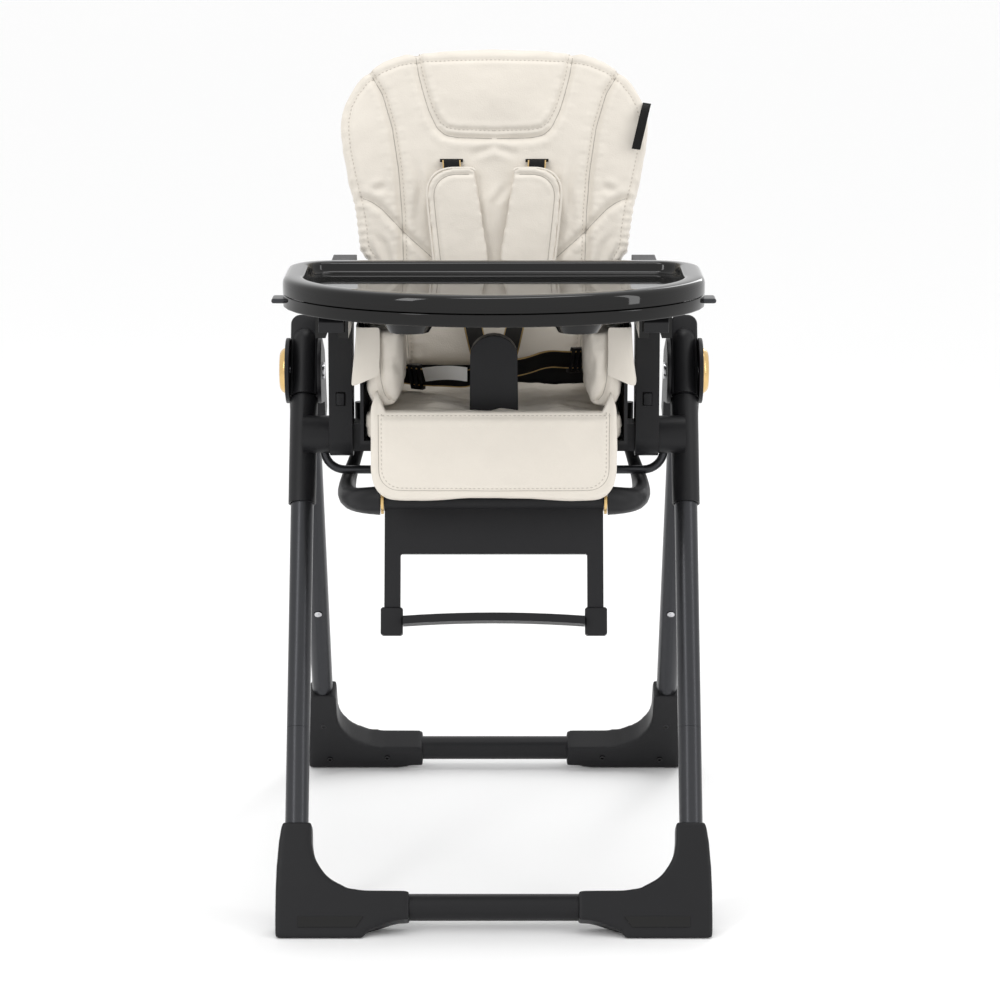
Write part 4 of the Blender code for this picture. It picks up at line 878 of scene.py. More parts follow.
class HIGHCHAIR_OT_back_cushion(Build, bpy.types.Operator):
    """Makes the padded back with its head panel, wings, darts and stitching"""

    bl_idname = "highchair.back_cushion"
    bl_label = "Back cushion"

    def execute(self, context):
        cover = copy_of("backrest_pad", "back_cushion")
        edit(cover, lambda: bpy.ops.transform.shrink_fatten(value=-0.0015))
        remeshed(cover, padding().voxel)
        seams = both_halves(WING_SEAM) + both_halves(HEAD_SEAM)

        def sewn(points):
            local = BACK.local(points)
            gap, _ = nearest(local[:, :2], seams)
            slot = ((abs(abs(local[:, 0]) - SLOT_X) < 0.020)
                    & (abs(local[:, 1] - SLOT_ALONG) < 0.010))
            behind = np.clip((0.017 - local[:, 2]) / 0.006, 0.0, 1.0)
            return np.maximum.reduce([np.clip(1.3 - gap / 0.0035, 0, 1), slot * 1.0, behind])

        inflate(cover, sewn, padding().puff)
        refined(cover)
        self.fill_outline(cover)
        rumple(cover, 0.0011, 0.045)
        sew(cover, BACK, seams, 0.0042, 0.0044)
        sew(cover, BACK, both_halves(HEAD_RIDGE), 0.0024, 0.0030)
        sew(cover, BACK, both_halves(DART_SEAM), 0.0038, 0.0042)
        sew(cover, BACK, [back_line(EDGE_SEAM)], 0.0014, 0.0024)
        folds = [((0.034, 0.302), (0.0, 0.314), (-0.034, 0.302)),
                 ((0.106, 0.305), (0.095, 0.262), (0.100, 0.215)),
                 ((-0.106, 0.305), (-0.095, 0.262), (-0.100, 0.215)),
                 ((0.160, 0.205), (0.143, 0.186), (0.130, 0.140)),
                 ((-0.160, 0.205), (-0.143, 0.186), (-0.130, 0.140)),
                 ((0.160, 0.255), (0.138, 0.262)), ((-0.160, 0.255), (-0.138, 0.262)),
                 ((0.022, 0.270), (0.0, 0.240), (-0.004, 0.200))]
        creases(cover, BACK, folds, 0.0015, 0.0055)
        self.gather_edges(cover)
        self.keep_clear(cover)
        dress(cover, material("cover"), "backrest")
        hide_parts("backrest_pad")
        beside = tuple((x - 0.0045, a) for x, a in WING_SEAM)
        # dark cords along the back's seams: painted shadow in their valleys
        seam_shadow_cords("back_seam_shadows", cover, BACK, seams + both_halves(DART_SEAM), "backrest")
        stitches("back_stitching", cover, BACK,
                 both_halves(beside) + both_halves(HEAD_RIDGE) + [back_line(EDGE_SEAM)], "backrest")
        return {"FINISHED"}

    @staticmethod
    def fill_outline(cover):
        """Lets the sides and top out to the back's outline, nipped in where the seams meet it."""
        points = points_of(cover)
        local = BACK.local(points)
        x, a = abs(local[:, 0]), local[:, 1]
        levels = np.arange(0.150, 0.400, 0.01)
        widths = np.array([x[abs(a - level) < 0.006].max() for level in levels])
        target = back_width(levels, 1.008)
        grow = np.interp(a, levels, target / widths - 1.0)
        share = np.clip((x - 0.07) / 0.09, 0.0, 1.0)
        points[:, 0] *= 1.0 + grow * share ** 2
        rise = BACK_LENGTH + 0.0085 - a.max()
        lift = rise * np.clip((a - 0.32) / 0.11, 0.0, 1.0) ** 2
        middle = np.array([0.0, 0.25])
        for end_x, end_a in (WING_SEAM[0], HEAD_SEAM[0]):
            gap = np.hypot(x - end_x, a - end_a)
            nip = 0.0034 * np.exp(-(gap / 0.0062) ** 2)
            inward = np.array([end_x, end_a]) - middle
            inward /= np.hypot(*inward)
            points[:, 0] -= nip * inward[0] * np.sign(local[:, 0])
            lift -= nip * inward[1]
        put_points(cover, points + np.array(BACK.along) * lift[:, None])

    @staticmethod
    def gather_edges(cover):
        """Small upright gathers where the lower sides are elasticated."""
        points = points_of(cover)
        local = BACK.local(points)
        x, a = abs(local[:, 0]), local[:, 1]
        rim = back_width(a)
        near = np.exp(-(np.clip(rim - x, 0.0, None) / 0.012) ** 2)
        near *= np.clip((a - 0.150) / 0.015, 0, 1) * np.clip((0.262 - a) / 0.02, 0, 1)
        wave = np.sin(a * math.tau / 0.0105 + 1.3 * np.sign(local[:, 0]))
        put_points(cover, points + normals_of(cover) * (0.0006 * near * wave)[:, None])

    @staticmethod
    def keep_clear(cover):
        """Holds the cover's sides off the armrests and the seat's walls."""
        points = points_of(cover)
        low = points[:, 2] < ARM_TOP + 0.012
        limit = np.where(points[:, 2] < SHELL_BOX[1].z + 0.004, 0.1565, FRAME_INNER - FRAME_GAP)
        points[low, 0] = np.clip(points[low, 0], -limit[low], limit[low])
        out = BACK.local(points)[:, 2]
        points -= np.array(BACK.out) * np.minimum(out - 0.0034, 0.0)[:, None]
        put_points(cover, points)


class HIGHCHAIR_OT_back_label(Build, bpy.types.Operator):
    """Adds the blank woven label in the side seam of the back"""

    bl_idname = "highchair.back_label"
    bl_label = "Side label"

    def execute(self, context):
        top, low = BACK.point(0.1990, 0.373, 0.024), BACK.point(0.1835, 0.309, 0.044)
        path = [top, BACK.point(0.1960, 0.362, 0.041), BACK.point(0.1905, 0.338, 0.046), low]
        label = strap("back_label", path, lambda t: X * 1.0 - BACK.out * 0.75, 0.0135, 0.0012, 14)
        dress(label, material("plain_webbing"), "backrest")
        return {"FINISHED"}


class HIGHCHAIR_OT_seat_cushion(Build, bpy.types.Operator):
    """Makes the rumpled seat cushion"""

    bl_idname = "highchair.seat_cushion"
    bl_label = "Seat cushion"

    def execute(self, context):
        outer, low = PAD_BOX[1].x - 0.001, PAD_BOX[0].z + 0.001
        front, back = PAD_BOX[0].y + 0.002, PAD_BOX[1].y - 0.001
        across = Plane((0.0, (front + back) / 2, 0.0), (0.0, 0.0, 1.0))
        outline = [(-outer, low), (outer, low),
                   (outer, SEAT_TOP - 0.001), (-outer, SEAT_TOP - 0.001)]
        half = (back - front) / 2
        cover = outline_plate("seat_cushion", outline, across, -half, half)
        remeshed(cover, padding().voxel)

        def sewn(points):
            side = np.clip((abs(points[:, 0]) - outer + 0.008) / 0.003, 0, 1)
            under = np.clip((low + 0.010 - points[:, 2]) / 0.004, 0, 1)
            behind = np.clip((points[:, 1] - back + 0.008) / 0.003, 0, 1)
            return np.maximum.reduce([side, under, behind])

        inflate(cover, sewn, padding().puff)
        refined(cover)
        rumple(cover, 0.0034, 0.034, lambda points: (points[:, 2] > SEAT_TOP - 0.02) * 1.0)
        seat = Plane((0.0, 0.0, SEAT_TOP), (0.0, 1.0, 0.0))
        seat.out = Vector((0.0, 0.0, 1.0))
        creases(cover, seat, [((-0.105, -0.170), (-0.070, -0.188), (-0.030, -0.196)),
                              ((-0.100, -0.135), (-0.065, -0.160), (-0.035, -0.170)),
                              ((-0.090, -0.205), (-0.050, -0.212)),
                              ((0.105, -0.150), (0.075, -0.180), (0.035, -0.190)),
                              ((0.095, -0.120), (0.060, -0.150), (0.038, -0.155)),
                              ((0.060, -0.208), (0.100, -0.200)),
                              ((-0.060, -0.090), (0.0, -0.105), (0.060, -0.085))], 0.0028, 0.0052)
        points = points_of(cover)
        points[:, 0] = np.clip(points[:, 0], -outer - 0.0008, outer + 0.0008)
        points[:, 2] = np.maximum(points[:, 2], low - 0.0006)
        points[:, 1] = np.clip(points[:, 1], front - 0.002, back + 0.001)
        put_points(cover, points)
        # the seat's cover is the darker copy: painted shade
        dress(cover, material("cover_shaded"), "seat_carriage")
        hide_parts("seat_pad")
        return {"FINISHED"}


class HIGHCHAIR_OT_bolsters(Build, bpy.types.Operator):
    """Makes the two side bolsters with their front seams"""

    bl_idname = "highchair.bolsters"
    bl_label = "Side bolsters"

    def execute(self, context):
        outer, top = PAD_BOX[1].x - 0.001, PAD_BOX[1].z - 0.001
        inner = outer - BOLSTER_WIDTH + 0.003
        front, back = PAD_BOX[0].y + 0.001, PAD_BOX[1].y - 0.002
        across = Plane((0.0, (front + back) / 2, 0.0), (0.0, 0.0, 1.0))
        face = Plane((0.0, front, 0.0), (0.0, 0.0, 1.0))
        half = (back - front) / 2
        corner = 0.013
        shape = [(outer, top), (outer, BOLSTER_LOW + 0.020), (outer - 0.006, BOLSTER_LOW + 0.006),
                 (outer - 0.016, BOLSTER_LOW)]
        shape += [(inner + corner - corner * math.sin(t * math.pi / 10),
                   BOLSTER_LOW + corner - corner * math.cos(t * math.pi / 10)) for t in range(6)]
        shape += [(inner, top)]
        seam_x = outer - 0.0165
        for side, sign in SIDES:
            outline = on_side(shape, sign)
            cover = outline_plate(f"bolster_{side}", outline, across, -half, half)
            remeshed(cover, padding().voxel * 0.85)
            turned = (seam_x - 0.012, BOLSTER_LOW + 0.0085)
            down = on_side(((seam_x, top), (seam_x - 0.0005, 0.690), (seam_x - 0.002, 0.664),
                            (seam_x - 0.006, BOLSTER_LOW + 0.0155), turned), sign)
            hem = on_side((turned, (inner + 0.004, BOLSTER_LOW + 0.0080)), sign)

            def sewn(points, down=down):
                side_face = np.clip((abs(points[:, 0]) - outer + 0.006) / 0.003, 0, 1)
                behind = np.clip((points[:, 1] - back + 0.006) / 0.003, 0, 1)
                gap, _ = nearest(face.local(points)[:, :2], [down])
                seam = np.clip(1.3 - gap / 0.003, 0, 1) * (points[:, 1] < front + 0.01)
                return np.maximum.reduce([side_face, behind, seam])

            inflate(cover, sewn, 0.0050)
            refined(cover)
            rumple(cover, 0.0013, 0.030)
            sew(cover, face, [down], 0.0026, 0.0026)
            sew(cover, face, [hem], 0.0010, 0.0020)
            points = points_of(cover)
            points[:, 0] = np.clip(points[:, 0], -outer - 0.0008, outer + 0.0008)
            points[:, 1] = np.clip(points[:, 1], front - 0.0035, back + 0.001)
            points[:, 2] = np.minimum(points[:, 2], top + 0.004)
            put_points(cover, points)
            dress(cover, material("cover"), "seat_carriage")
            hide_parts("seat_pad")
            # a dark cord along the bolster's seam: painted shadow in its valley
            seam_shadow_cords(f"bolster_seam_{side}", cover, face, [down], "seat_carriage")
            stitches(f"bolster_stitching_{side}", cover, face, [hem], "seat_carriage")
        return {"FINISHED"}


class HIGHCHAIR_OT_front_flap(Build, bpy.types.Operator):
    """Makes the padded flap that hangs over the front of the seat"""

    bl_idname = "highchair.front_flap"
    bl_label = "Front flap"

    def execute(self, context):
        cover = copy_of("front_flap", "front_flap_pad")
        edit(cover, lambda: bpy.ops.transform.shrink_fatten(value=-0.001))
        remeshed(cover, padding().voxel * 0.9)
        half, drop = FLAP_BOX[1].x, FLAP_BOX[1].z - FLAP_BOX[0].z
        inset, corner = 0.0105, 0.024
        line = [(half - inset, -0.004), (half - inset, -drop + inset + corner)]
        for k in range(1, 7):
            turn = math.pi / 2 * k / 6
            line.append((half - inset - corner + corner * math.cos(turn),
                         -drop + inset + corner - corner * math.sin(turn)))
        line += [(0.0, -drop + inset - 0.001)]
        line += [(-x, a) for x, a in line[-2::-1]]
        top = [(half - inset, -0.0065), (-half + inset, -0.0065)]

        def sewn(points):
            local = FLAP.local(points)
            gap, _ = nearest(local[:, :2], [line, top])
            behind = np.clip((local[:, 2] + 0.016) / 0.003, 0.0, 1.0)
            return np.maximum(np.clip(1.3 - gap / 0.003, 0, 1), 1.0 - behind)

        inflate(cover, sewn, padding().puff * 0.55)
        refined(cover)
        rumple(cover, 0.0009, 0.05)
        sew(cover, FLAP, [line, top], 0.0017, 0.0030)
        self.shape(cover, half, drop)
        # the flap's cover is the lighter copy: painted light
        dress(cover, material("cover_painted_light"), "seat_carriage")
        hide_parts("front_flap")
        # a dark cord along the flap's seam: painted shadow in its valley
        seam_shadow_cords("flap_seam_shadow", cover, FLAP, [line], "seat_carriage", 0.0004)
        beside = [(x * 0.974, a + 0.003 if a < -0.02 else a) for x, a in line]
        stitches("flap_stitching", cover, FLAP, [beside, top], "seat_carriage")
        return {"FINISHED"}

    @staticmethod
    def shape(cover, half, drop):
        """Waves the hem a little and draws the top corners up to the bolsters."""
        points = points_of(cover)
        local = FLAP.local(points)
        hem = np.clip((-local[:, 1] - drop + 0.03) / 0.03, 0.0, 1.0)
        points[:, 2] += hem * 0.0018 * np.cos(local[:, 0] / half * math.pi * 1.5)
        points[:, 2] -= hem * 0.0035
        ear = np.clip(1.0 - abs(abs(local[:, 0]) - half + 0.0085) / 0.0105, 0.0, 1.0)
        ear *= np.clip(1.0 + local[:, 1] / 0.012, 0.0, 1.0)
        points[:, 2] += ear * 0.029
        points[:, 1] += ear * 0.0045
        put_points(cover, points)


class HIGHCHAIR_OT_side_drapes(Build, bpy.types.Operator):
    """Wraps the cover's side flaps round the front and outside of the seat's walls"""

    bl_idname = "highchair.side_drapes"
    bl_label = "Side flaps"

    def execute(self, context):
        top, wall, front = SHELL_BOX[1].z, FRAME_INNER - 0.015, PAD_BOX[0].y
        # across the flap, seen from above: (x, y, lower edge, how far the lower edge swings out)
        stations = ((wall - 0.0240, front - 0.0030, 0.6740, 0.0000),
                    (wall - 0.0180, front - 0.0052, 0.6715, 0.0006),
                    (wall - 0.0100, front - 0.0060, 0.6680, 0.0012),
                    (wall - 0.0030, front - 0.0056, 0.6640, 0.0022),
                    (wall + 0.0022, front - 0.0030, 0.6610, 0.0042),
                    (wall + 0.0034, front + 0.0040, 0.6605, 0.0064),
                    (wall + 0.0036, front + 0.0140, 0.6660, 0.0066),
                    (wall + 0.0034, front + 0.0360, 0.6780, 0.0050),
                    (wall + 0.0030, front + 0.0800, 0.6600, 0.0064),
                    (wall + 0.0030, front + 0.1250, 0.6470, 0.0086),
                    (wall + 0.0028, front + 0.1700, 0.6660, 0.0070),
                    (wall + 0.0026, front + 0.2300, 0.6820, 0.0044))
        for side, sign in SIDES:
            bpy.ops.mesh.primitive_grid_add(x_subdivisions=len(stations) - 1, y_subdivisions=9)
            drape = added(f"side_flap_{side}")
            us = sorted({round(v.co.x, 5) for v in drape.data.vertices})
            vs = sorted({round(v.co.y, 5) for v in drape.data.vertices})
            for vertex in drape.data.vertices:
                x, y, low, flare = stations[us.index(round(vertex.co.x, 5))]
                fall = vs.index(round(vertex.co.y, 5)) / (len(vs) - 1)
                sway = 0.0008 * math.sin(y * 140.0 + fall * 5.0 + sign) * fall
                vertex.co = (sign * min(x + flare * fall ** 1.5 + sway, FRAME_INNER - FRAME_GAP), y,
                             top - 0.002 + (low - top) * fall)
            if sign > 0:
                edit(drape, bpy.ops.mesh.flip_normals)
            finer = drape.modifiers.new("finer", "SUBSURF")
            finer.levels = finer.render_levels = 2
            apply_modifiers(drape)
            solid = drape.modifiers.new("thickness", "SOLIDIFY")
            solid.thickness = 0.0024
            solid.offset = 0.0
            apply_modifiers(drape)
            smooth(drape, 50.0)
            dress(drape, material("cover"), "seat_carriage")
        return {"FINISHED"}


class HIGHCHAIR_OT_shoulder_pads(Build, bpy.types.Operator):
    """Makes the two piped shoulder pads"""

    bl_idname = "highchair.shoulder_pads"
    bl_label = "Shoulder pads"

    def execute(self, context):
        low = PAD_FRONT + 0.0070
        for side, sign in SIDES:
            outline = on_side(PAD_OUTLINE, sign)
            cover = outline_plate(f"shoulder_cushion_{side}", outline, BACK, low, low + 0.0088)
            remeshed(cover, 0.0032)
            edge = on_side((
                (0.0655, 0.130), (0.0750, 0.215), (0.0782, 0.2470), (0.0772, 0.2560),
                (0.0735, 0.2640), (0.0675, 0.2700), (0.0600, 0.2740), (0.0520, 0.2755),
                (0.0300, 0.2757)), sign)

            def sewn(points, edge=edge):
                local = BACK.local(points)
                gap, _ = nearest(local[:, :2], [edge])
                return np.maximum(np.clip(1.3 - gap / 0.0025, 0, 1),
                                  (local[:, 2] < low + 0.003) * 1.0)

            inflate(cover, sewn, 0.0038)
            refined(cover, 3)
            rumple(cover, 0.0007, 0.035)
            sew(cover, BACK, [edge], 0.0016, 0.0024)
            dress(cover, material("cover"), "backrest")
            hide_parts(f"shoulder_pad_{side}")
            rim = [BACK.point(sign * x, a, low + 0.0062) for x, a in (
                (0.0748, 0.132), (0.0842, 0.215), (0.0872, 0.2480), (0.0862, 0.2602),
                (0.0826, 0.2694), (0.0770, 0.2762), (0.0692, 0.2810), (0.0606, 0.2833),
                (0.0530, 0.2840), (0.0290, 0.2840), (0.0250, 0.2805))]
            cord = tube_along(f"shoulder_piping_{side}", softened(rim, 2), 0.0017)
            dress(cord, material("cover"), "backrest")
            # a dark cord along the pad's seam: painted shadow in its valley
            seam_shadow_cords(f"shoulder_seam_{side}", cover, BACK, [edge], "backrest", 0.0005)
        return {"FINISHED"}


class HIGHCHAIR_OT_harness(Build, bpy.types.Operator):
    """Threads the shoulder and waist webbing and its adjusters"""

    bl_idname = "highchair.harness"
    bl_label = "Harness"

    def execute(self, context):
        width = padding().webbing
        face = PAD_FRONT + 0.0108
        buckle = (BUCKLE_BOX[0] + BUCKLE_BOX[1]) / 2
        # the waist straps' centre lines: (x, y, height over the seat)
        waists = {"left": ((0.1150, -0.075, 0.0200), (0.0980, -0.090, 0.0205),
                           (0.0840, -0.104, 0.0215), (0.0600, -0.128, 0.0250),
                           (0.0350, -0.150, 0.0270), (0.0200, -0.158, 0.0340)),
                  "right": ((0.1170, -0.075, 0.0410), (0.1030, -0.088, 0.0415),
                            (0.0880, -0.102, 0.0440), (0.0660, -0.124, 0.0490),
                            (0.0400, -0.146, 0.0430), (0.0200, -0.158, 0.0420))}
        for side, sign in SIDES:
            slot = [BACK.point(sign * STRAP_X, SLOT_ALONG + a, PAD_FRONT + o)
                    for a, o in ((0.0120, 0.0006), (0.0100, 0.0014), (0.0080, 0.0010))]
            lining = strap(f"strap_slot_{side}", slot, X, 0.0300, 0.0010, 4)
            dress(lining, material("plain_webbing"), "backrest")
            path = [BACK.point(sign * STRAP_X, SLOT_ALONG + 0.0105, PAD_FRONT - 0.004),
                    BACK.point(sign * STRAP_X, SLOT_ALONG + 0.0100, PAD_FRONT + 0.0020),
                    BACK.point(sign * STRAP_X, SLOT_ALONG + 0.0080, PAD_FRONT + 0.0070),
                    BACK.point(sign * 0.0550, SLOT_ALONG + 0.0020, face - 0.0010),
                    BACK.point(sign * 0.0545, SLOT_ALONG - 0.0080, face),
                    BACK.point(sign * 0.0500, 0.215, face),
                    BACK.point(sign * 0.0400, 0.150, face),
                    BACK.point(sign * STRAP_BEND[0], STRAP_BEND[1], face + 0.0060),
                    Vector((sign * 0.0275, -0.070, 0.7110)),
                    Vector((sign * 0.0200, buckle.y + 0.020, buckle.z + 0.012)),
                    Vector((sign * 0.0170, buckle.y + 0.006, buckle.z + 0.002))]
            webbing = strap(f"shoulder_webbing_{side}", path, X, width, rows=110)
            dress(webbing, material("webbing"), None)
            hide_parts(f"shoulder_strap_{side}")
            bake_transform(webbing)
            waist = [Vector((sign * x, y, SEAT_TOP + z)) for x, y, z in waists[side]]
            lean = Vector((0.0, -0.25, 1.0))
            lap = strap(f"waist_webbing_{side}", waist, lean, width, rows=44)
            dress(lap, material("webbing"), "seat_carriage")
            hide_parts(f"waist_strap_{side}")
            self.adjuster(f"waist_adjuster_{side}", waist[1], (waist[2] - waist[0]).normalized(),
                          lean, width)
        self.care_label(buckle)
        return {"FINISHED"}

    @staticmethod
    def adjuster(name, centre, along, lean, width):
        """A moulded three-bar slide on a strap."""
        lean = (lean - along * lean.dot(along)).normalized()
        turn = Matrix((along, lean, along.cross(lean))).transposed().to_4x4()
        bars = []
        tall, long = width + 0.006, 0.017
        for offset, size in (((-long / 2, 0, 0), (0.0042, tall, 0.0064)),
                             ((0, 0, 0), (0.0036, tall, 0.0072)),
                             ((long / 2, 0, 0), (0.0042, tall, 0.0064)),
                             ((0, -tall / 2, 0), (long + 0.0042, 0.0032, 0.0064)),
                             ((0, tall / 2, 0), (long + 0.0042, 0.0032, 0.0064))):
            bpy.ops.mesh.primitive_cube_add(size=1.0, location=offset, scale=size)
            bar = added("bar")
            edit(bar, lambda: bpy.ops.mesh.bevel(offset=0.0009, segments=2))
            bars.append(bar)
        slide = joined(name, bars)
        slide.data.transform(Matrix.Translation(centre) @ turn)
        smooth(slide, 40.0)
        dress(slide, material("plastic"), "seat_carriage")

    @staticmethod
    def care_label(buckle):
        """A blank white care label sewn round the left waist strap."""
        path = [Vector((x, y, SEAT_TOP + z)) for x, y, z in (
            (-0.0880, -0.1080, 0.0260), (-0.0660, -0.1330, 0.0325),
            (-0.0500, -0.1510, 0.0355), (-0.0330, -0.1680, 0.0360))]
        label = strap("care_label", path, lambda t: Vector((-0.25 + 0.25 * t, -0.2, 1.0)),
                      0.0185, 0.0006, 14)
        made = Finish("label_satin", (0.90, 0.90, 0.89), 0.45, Sheen_Weight=0.3)
        made.colour(made.noise(60.0, 2.0), (0.86, 0.86, 0.85), (0.92, 0.92, 0.91))
        made.bump(made.waves(800.0, "X"), 0.0001, 0.4)
        dress(label, made.material, "seat_carriage")


class HIGHCHAIR_OT_tray_cover(Build, bpy.types.Operator):
    """Makes the polished lift-off tray cover with its rounded rim"""

    bl_idname = "highchair.tray_cover"
    bl_label = "Tray cover"

    def execute(self, context):
        low, high = TRAY_BOX
        seam = BASE_BOX[1].z + 0.0003
        skirt = 0.0030
        tray = self.base_plate("tray_cover_shell", high.x, low.y, high.y, seam - skirt)
        outside = ((0.0, high.z - seam + skirt - 0.0085), (0.0012, 0.0042), (0.0026, 0.0024),
                   (0.0040, 0.0012), (0.0050, 0.0004), (0.0070, 0.0))
        inside = ((0.0030, 0.03), (0.0022, 0.09), (0.0014, 0.17), (0.0010, 0.28), (0.0014, 0.22),
                  (0.0026, 0.14), (0.0040, 0.06), (0.0060, 0.01), (0.0060, 0.0))
        depth = high.z - TRAY_FLOOR
        self.rings(tray, outside, 1.0)
        self.rings(tray, [(inset, -depth * share) for inset, share in inside], 1.0)
        self.rings(tray, ((0.0009, 0.0), (0.0034, skirt), (0.0223, 0.0),
                          (0.0, TRAY_FLOOR - 0.003 - seam)), -1.0)
        edit(tray, lambda: bpy.ops.mesh.normals_make_consistent(inside=False))
        smooth(tray, 50.0)
        dress(tray, material("gloss"), "tray_cover")
        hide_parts("tray_cover")
        return {"FINISHED"}

    @staticmethod
    def base_plate(name, half, front, back, height):
        """The tray's outline as a thin plate, nearly straight behind and bowed in front."""
        corner, sides = 0.055, 36
        shoulder = back - 0.145
        outline = []
        for k in range(sides // 2 + 1):
            turn = math.pi / 2 * k / (sides // 2)
            outline.append((half - corner + corner * math.cos(turn),
                            back - corner + corner * math.sin(turn)))
        outline += [(-x, y) for x, y in reversed(outline)]
        outline += [(-half, back - corner - (shoulder - back + corner) * -k / 4)
                    for k in range(1, 4)]
        for k in range(2 * sides + 1):
            turn = math.pi + math.pi * k / (2 * sides)
            outline.append((half * math.cos(turn), shoulder + (shoulder - front) * math.sin(turn)))
        outline += [(half, shoulder + (back - corner - shoulder) * k / 4) for k in range(1, 4)]
        bpy.ops.mesh.primitive_circle_add(vertices=len(outline), radius=1.0, fill_type="NGON")
        plate = added(name)
        for vertex, (x, y) in zip(plate.data.vertices, outline):
            vertex.co = (x, y, height)
        edit(plate, lambda: bpy.ops.mesh.extrude_region_move(
            TRANSFORM_OT_translate={"value": (0.0, 0.0, 0.0001)}))
        return plate

    @staticmethod
    def rings(plate, rings, side):
        """Insets and lifts the top or bottom face ring by ring."""
        bpy.context.tool_settings.mesh_select_mode = (False, False, True)
        for polygon in plate.data.polygons:
            polygon.select = False
        faces = [p for p in plate.data.polygons if len(p.vertices) > 8]
        ends = sorted(faces, key=lambda p: p.center.z * side)
        for vertex in plate.data.vertices:
            vertex.select = False
        for edge in plate.data.edges:
            edge.select = False
        ends[-1].select = True
        choose(plate)
        bpy.ops.object.mode_set(mode="EDIT")
        step_face(rings)
        bpy.ops.object.mode_set(mode="OBJECT")


class HIGHCHAIR_OT_front_hubs(Build, bpy.types.Operator):
    """Makes the front legs' top housings: a domed tube in front of a round-shouldered block"""

    bl_idname = "highchair.front_hubs"
    bl_label = "Front hubs"

    def execute(self, context):
        low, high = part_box("front_hub_right")
        fold = Vector(JOINTS["fold"]["pos_m"])
        leg = Plane(((low.x + high.x) / 2, fold.y, fold.z), -Vector(JOINTS["seat_height"]["axis"]))
        half = (high.x - low.x) / 2
        reach = leg.local(points_of(NODES["front_hub_right"]))
        (foot, rear), (top, face) = reach[:, 1:].min(0), reach[:, 1:].max(0)
        corner = 0.0125
        outline = [(half, foot)] + [
            (half - corner + corner * math.cos(t * math.pi / 16),
             top - corner + corner * math.sin(t * math.pi / 16)) for t in range(9)]
        outline += [(-x, a) for x, a in reversed(outline)]
        block = outline_plate("hub_block", outline, leg, rear, face - 0.0085)
        rounded = block.modifiers.new("rounded", "BEVEL")
        rounded.width, rounded.segments, rounded.angle_limit = 0.003, 3, math.radians(50.0)
        apply_modifiers(block)
        bpy.ops.mesh.primitive_uv_sphere_add(segments=48, ring_count=24, radius=1.0)
        tube = added("hub_tube")
        edit(tube,
             lambda: bpy.ops.mesh.bisect(plane_co=(0, 0, 0.001), plane_no=(0, 0, 1), use_fill=True,
                                         clear_inner=True),
             lambda: bpy.ops.mesh.extrude_region_move(TRANSFORM_OT_translate={"value": (0, 0, -1)}))
        radius, depth = half - 0.0002, (face - rear) * 0.46
        base = top - 0.0150 - radius * 1.1
        for vertex in tube.data.vertices:
            x, y, z = vertex.co
            vertex.co = leg.point(x * radius, base + z * radius * 1.1 if z > 0 else foot + 0.0004,
                                  face - depth - y * depth)
        edit(tube, lambda: bpy.ops.mesh.normals_make_consistent(inside=False))
        hub = joined("front_housing_right", [block, tube])
        smooth(hub, 40.0)
        other = mirrored(hub, "front_housing_left")
        for piece, side in ((hub, "right"), (other, "left")):
            dress(piece, material("plastic"), "front_frame")
            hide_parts(f"front_hub_{side}")
        return {"FINISHED"}


class HIGHCHAIR_OT_feet(Build, bpy.types.Operator):
    """Makes the four moulded feet, rounded all over and drawn out along the cross tubes"""

    bl_idname = "highchair.feet"
    bl_label = "Feet"

    def execute(self, context):
        for end, body in (("front", "front_frame"), ("rear", "rear_frame")):
            leg = FLOOR_LEGS[end]
            node = NODES[f"{end}_foot_right"]
            reach = leg.local(points_of(node))
            above = reach[reach[:, 1] > FOOT_SHOULDER]
            top, middle = above[:, 1].max(), (above[:, 2].max() + above[:, 2].min()) / 2
            outline = [(0.2604, top), (0.2640, top - 0.023), (0.2662, top - 0.053),
                       (0.2670, top - 0.083), (0.2668, 0.012), (0.2660, -0.014),
                       (0.1600, -0.014), (0.1560, 0.0008), (0.1480, 0.0036), (0.1372, 0.0082),
                       (0.1260, 0.0125), (0.1169, 0.0145), (0.1030, 0.0148), (0.1030, 0.0500),
                       (0.1100, 0.0508), (0.1576, 0.0512), (0.1780, 0.0538), (0.1890, 0.0595),
                       (0.1984, 0.0645), (0.2062, 0.0712), (0.2127, 0.0800), (0.2180, 0.0890),
                       (0.2214, 0.0990), (0.2230, 0.1100), (0.2237, top)]
            foot = outline_plate(f"{end}_foot_cover_right", outline, leg,
                                 middle - FOOT_HALF, middle + FOOT_HALF)
            edit(foot, lambda: bpy.ops.mesh.bisect(
                plane_co=(0, 0, FLOOR_GAP), plane_no=(0, 0, 1), use_fill=True, clear_inner=True))
            remeshed(foot, FOOT_GRID)
            rounded = foot.modifiers.new("rounded", "SMOOTH")
            rounded.factor, rounded.iterations = 0.5, 16
            apply_modifiers(foot)
            points = points_of(foot)
            local = leg.local(points)
            slim = FOOT_TAPER * np.clip(
                (local[:, 1] - FOOT_SHOULDER) / (top - FOOT_SHOULDER), 0.0, 1.0)
            points -= np.array(leg.out) * ((local[:, 2] - middle) * slim)[:, None]
            points[:, 2] = np.maximum(points[:, 2], FLOOR_GAP)
            put_points(foot, points)
            edit(foot, lambda: bpy.ops.mesh.remove_doubles(threshold=MERGE),
                 lambda: bpy.ops.mesh.normals_make_consistent(inside=False))
            smooth(foot, 40.0)
            other = mirrored(foot, f"{end}_foot_cover_left")
            for piece, side in ((foot, "right"), (other, "left")):
                dress(piece, material("plastic"), body)
                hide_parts(f"{end}_foot_{side}")
        return {"FINISHED"}


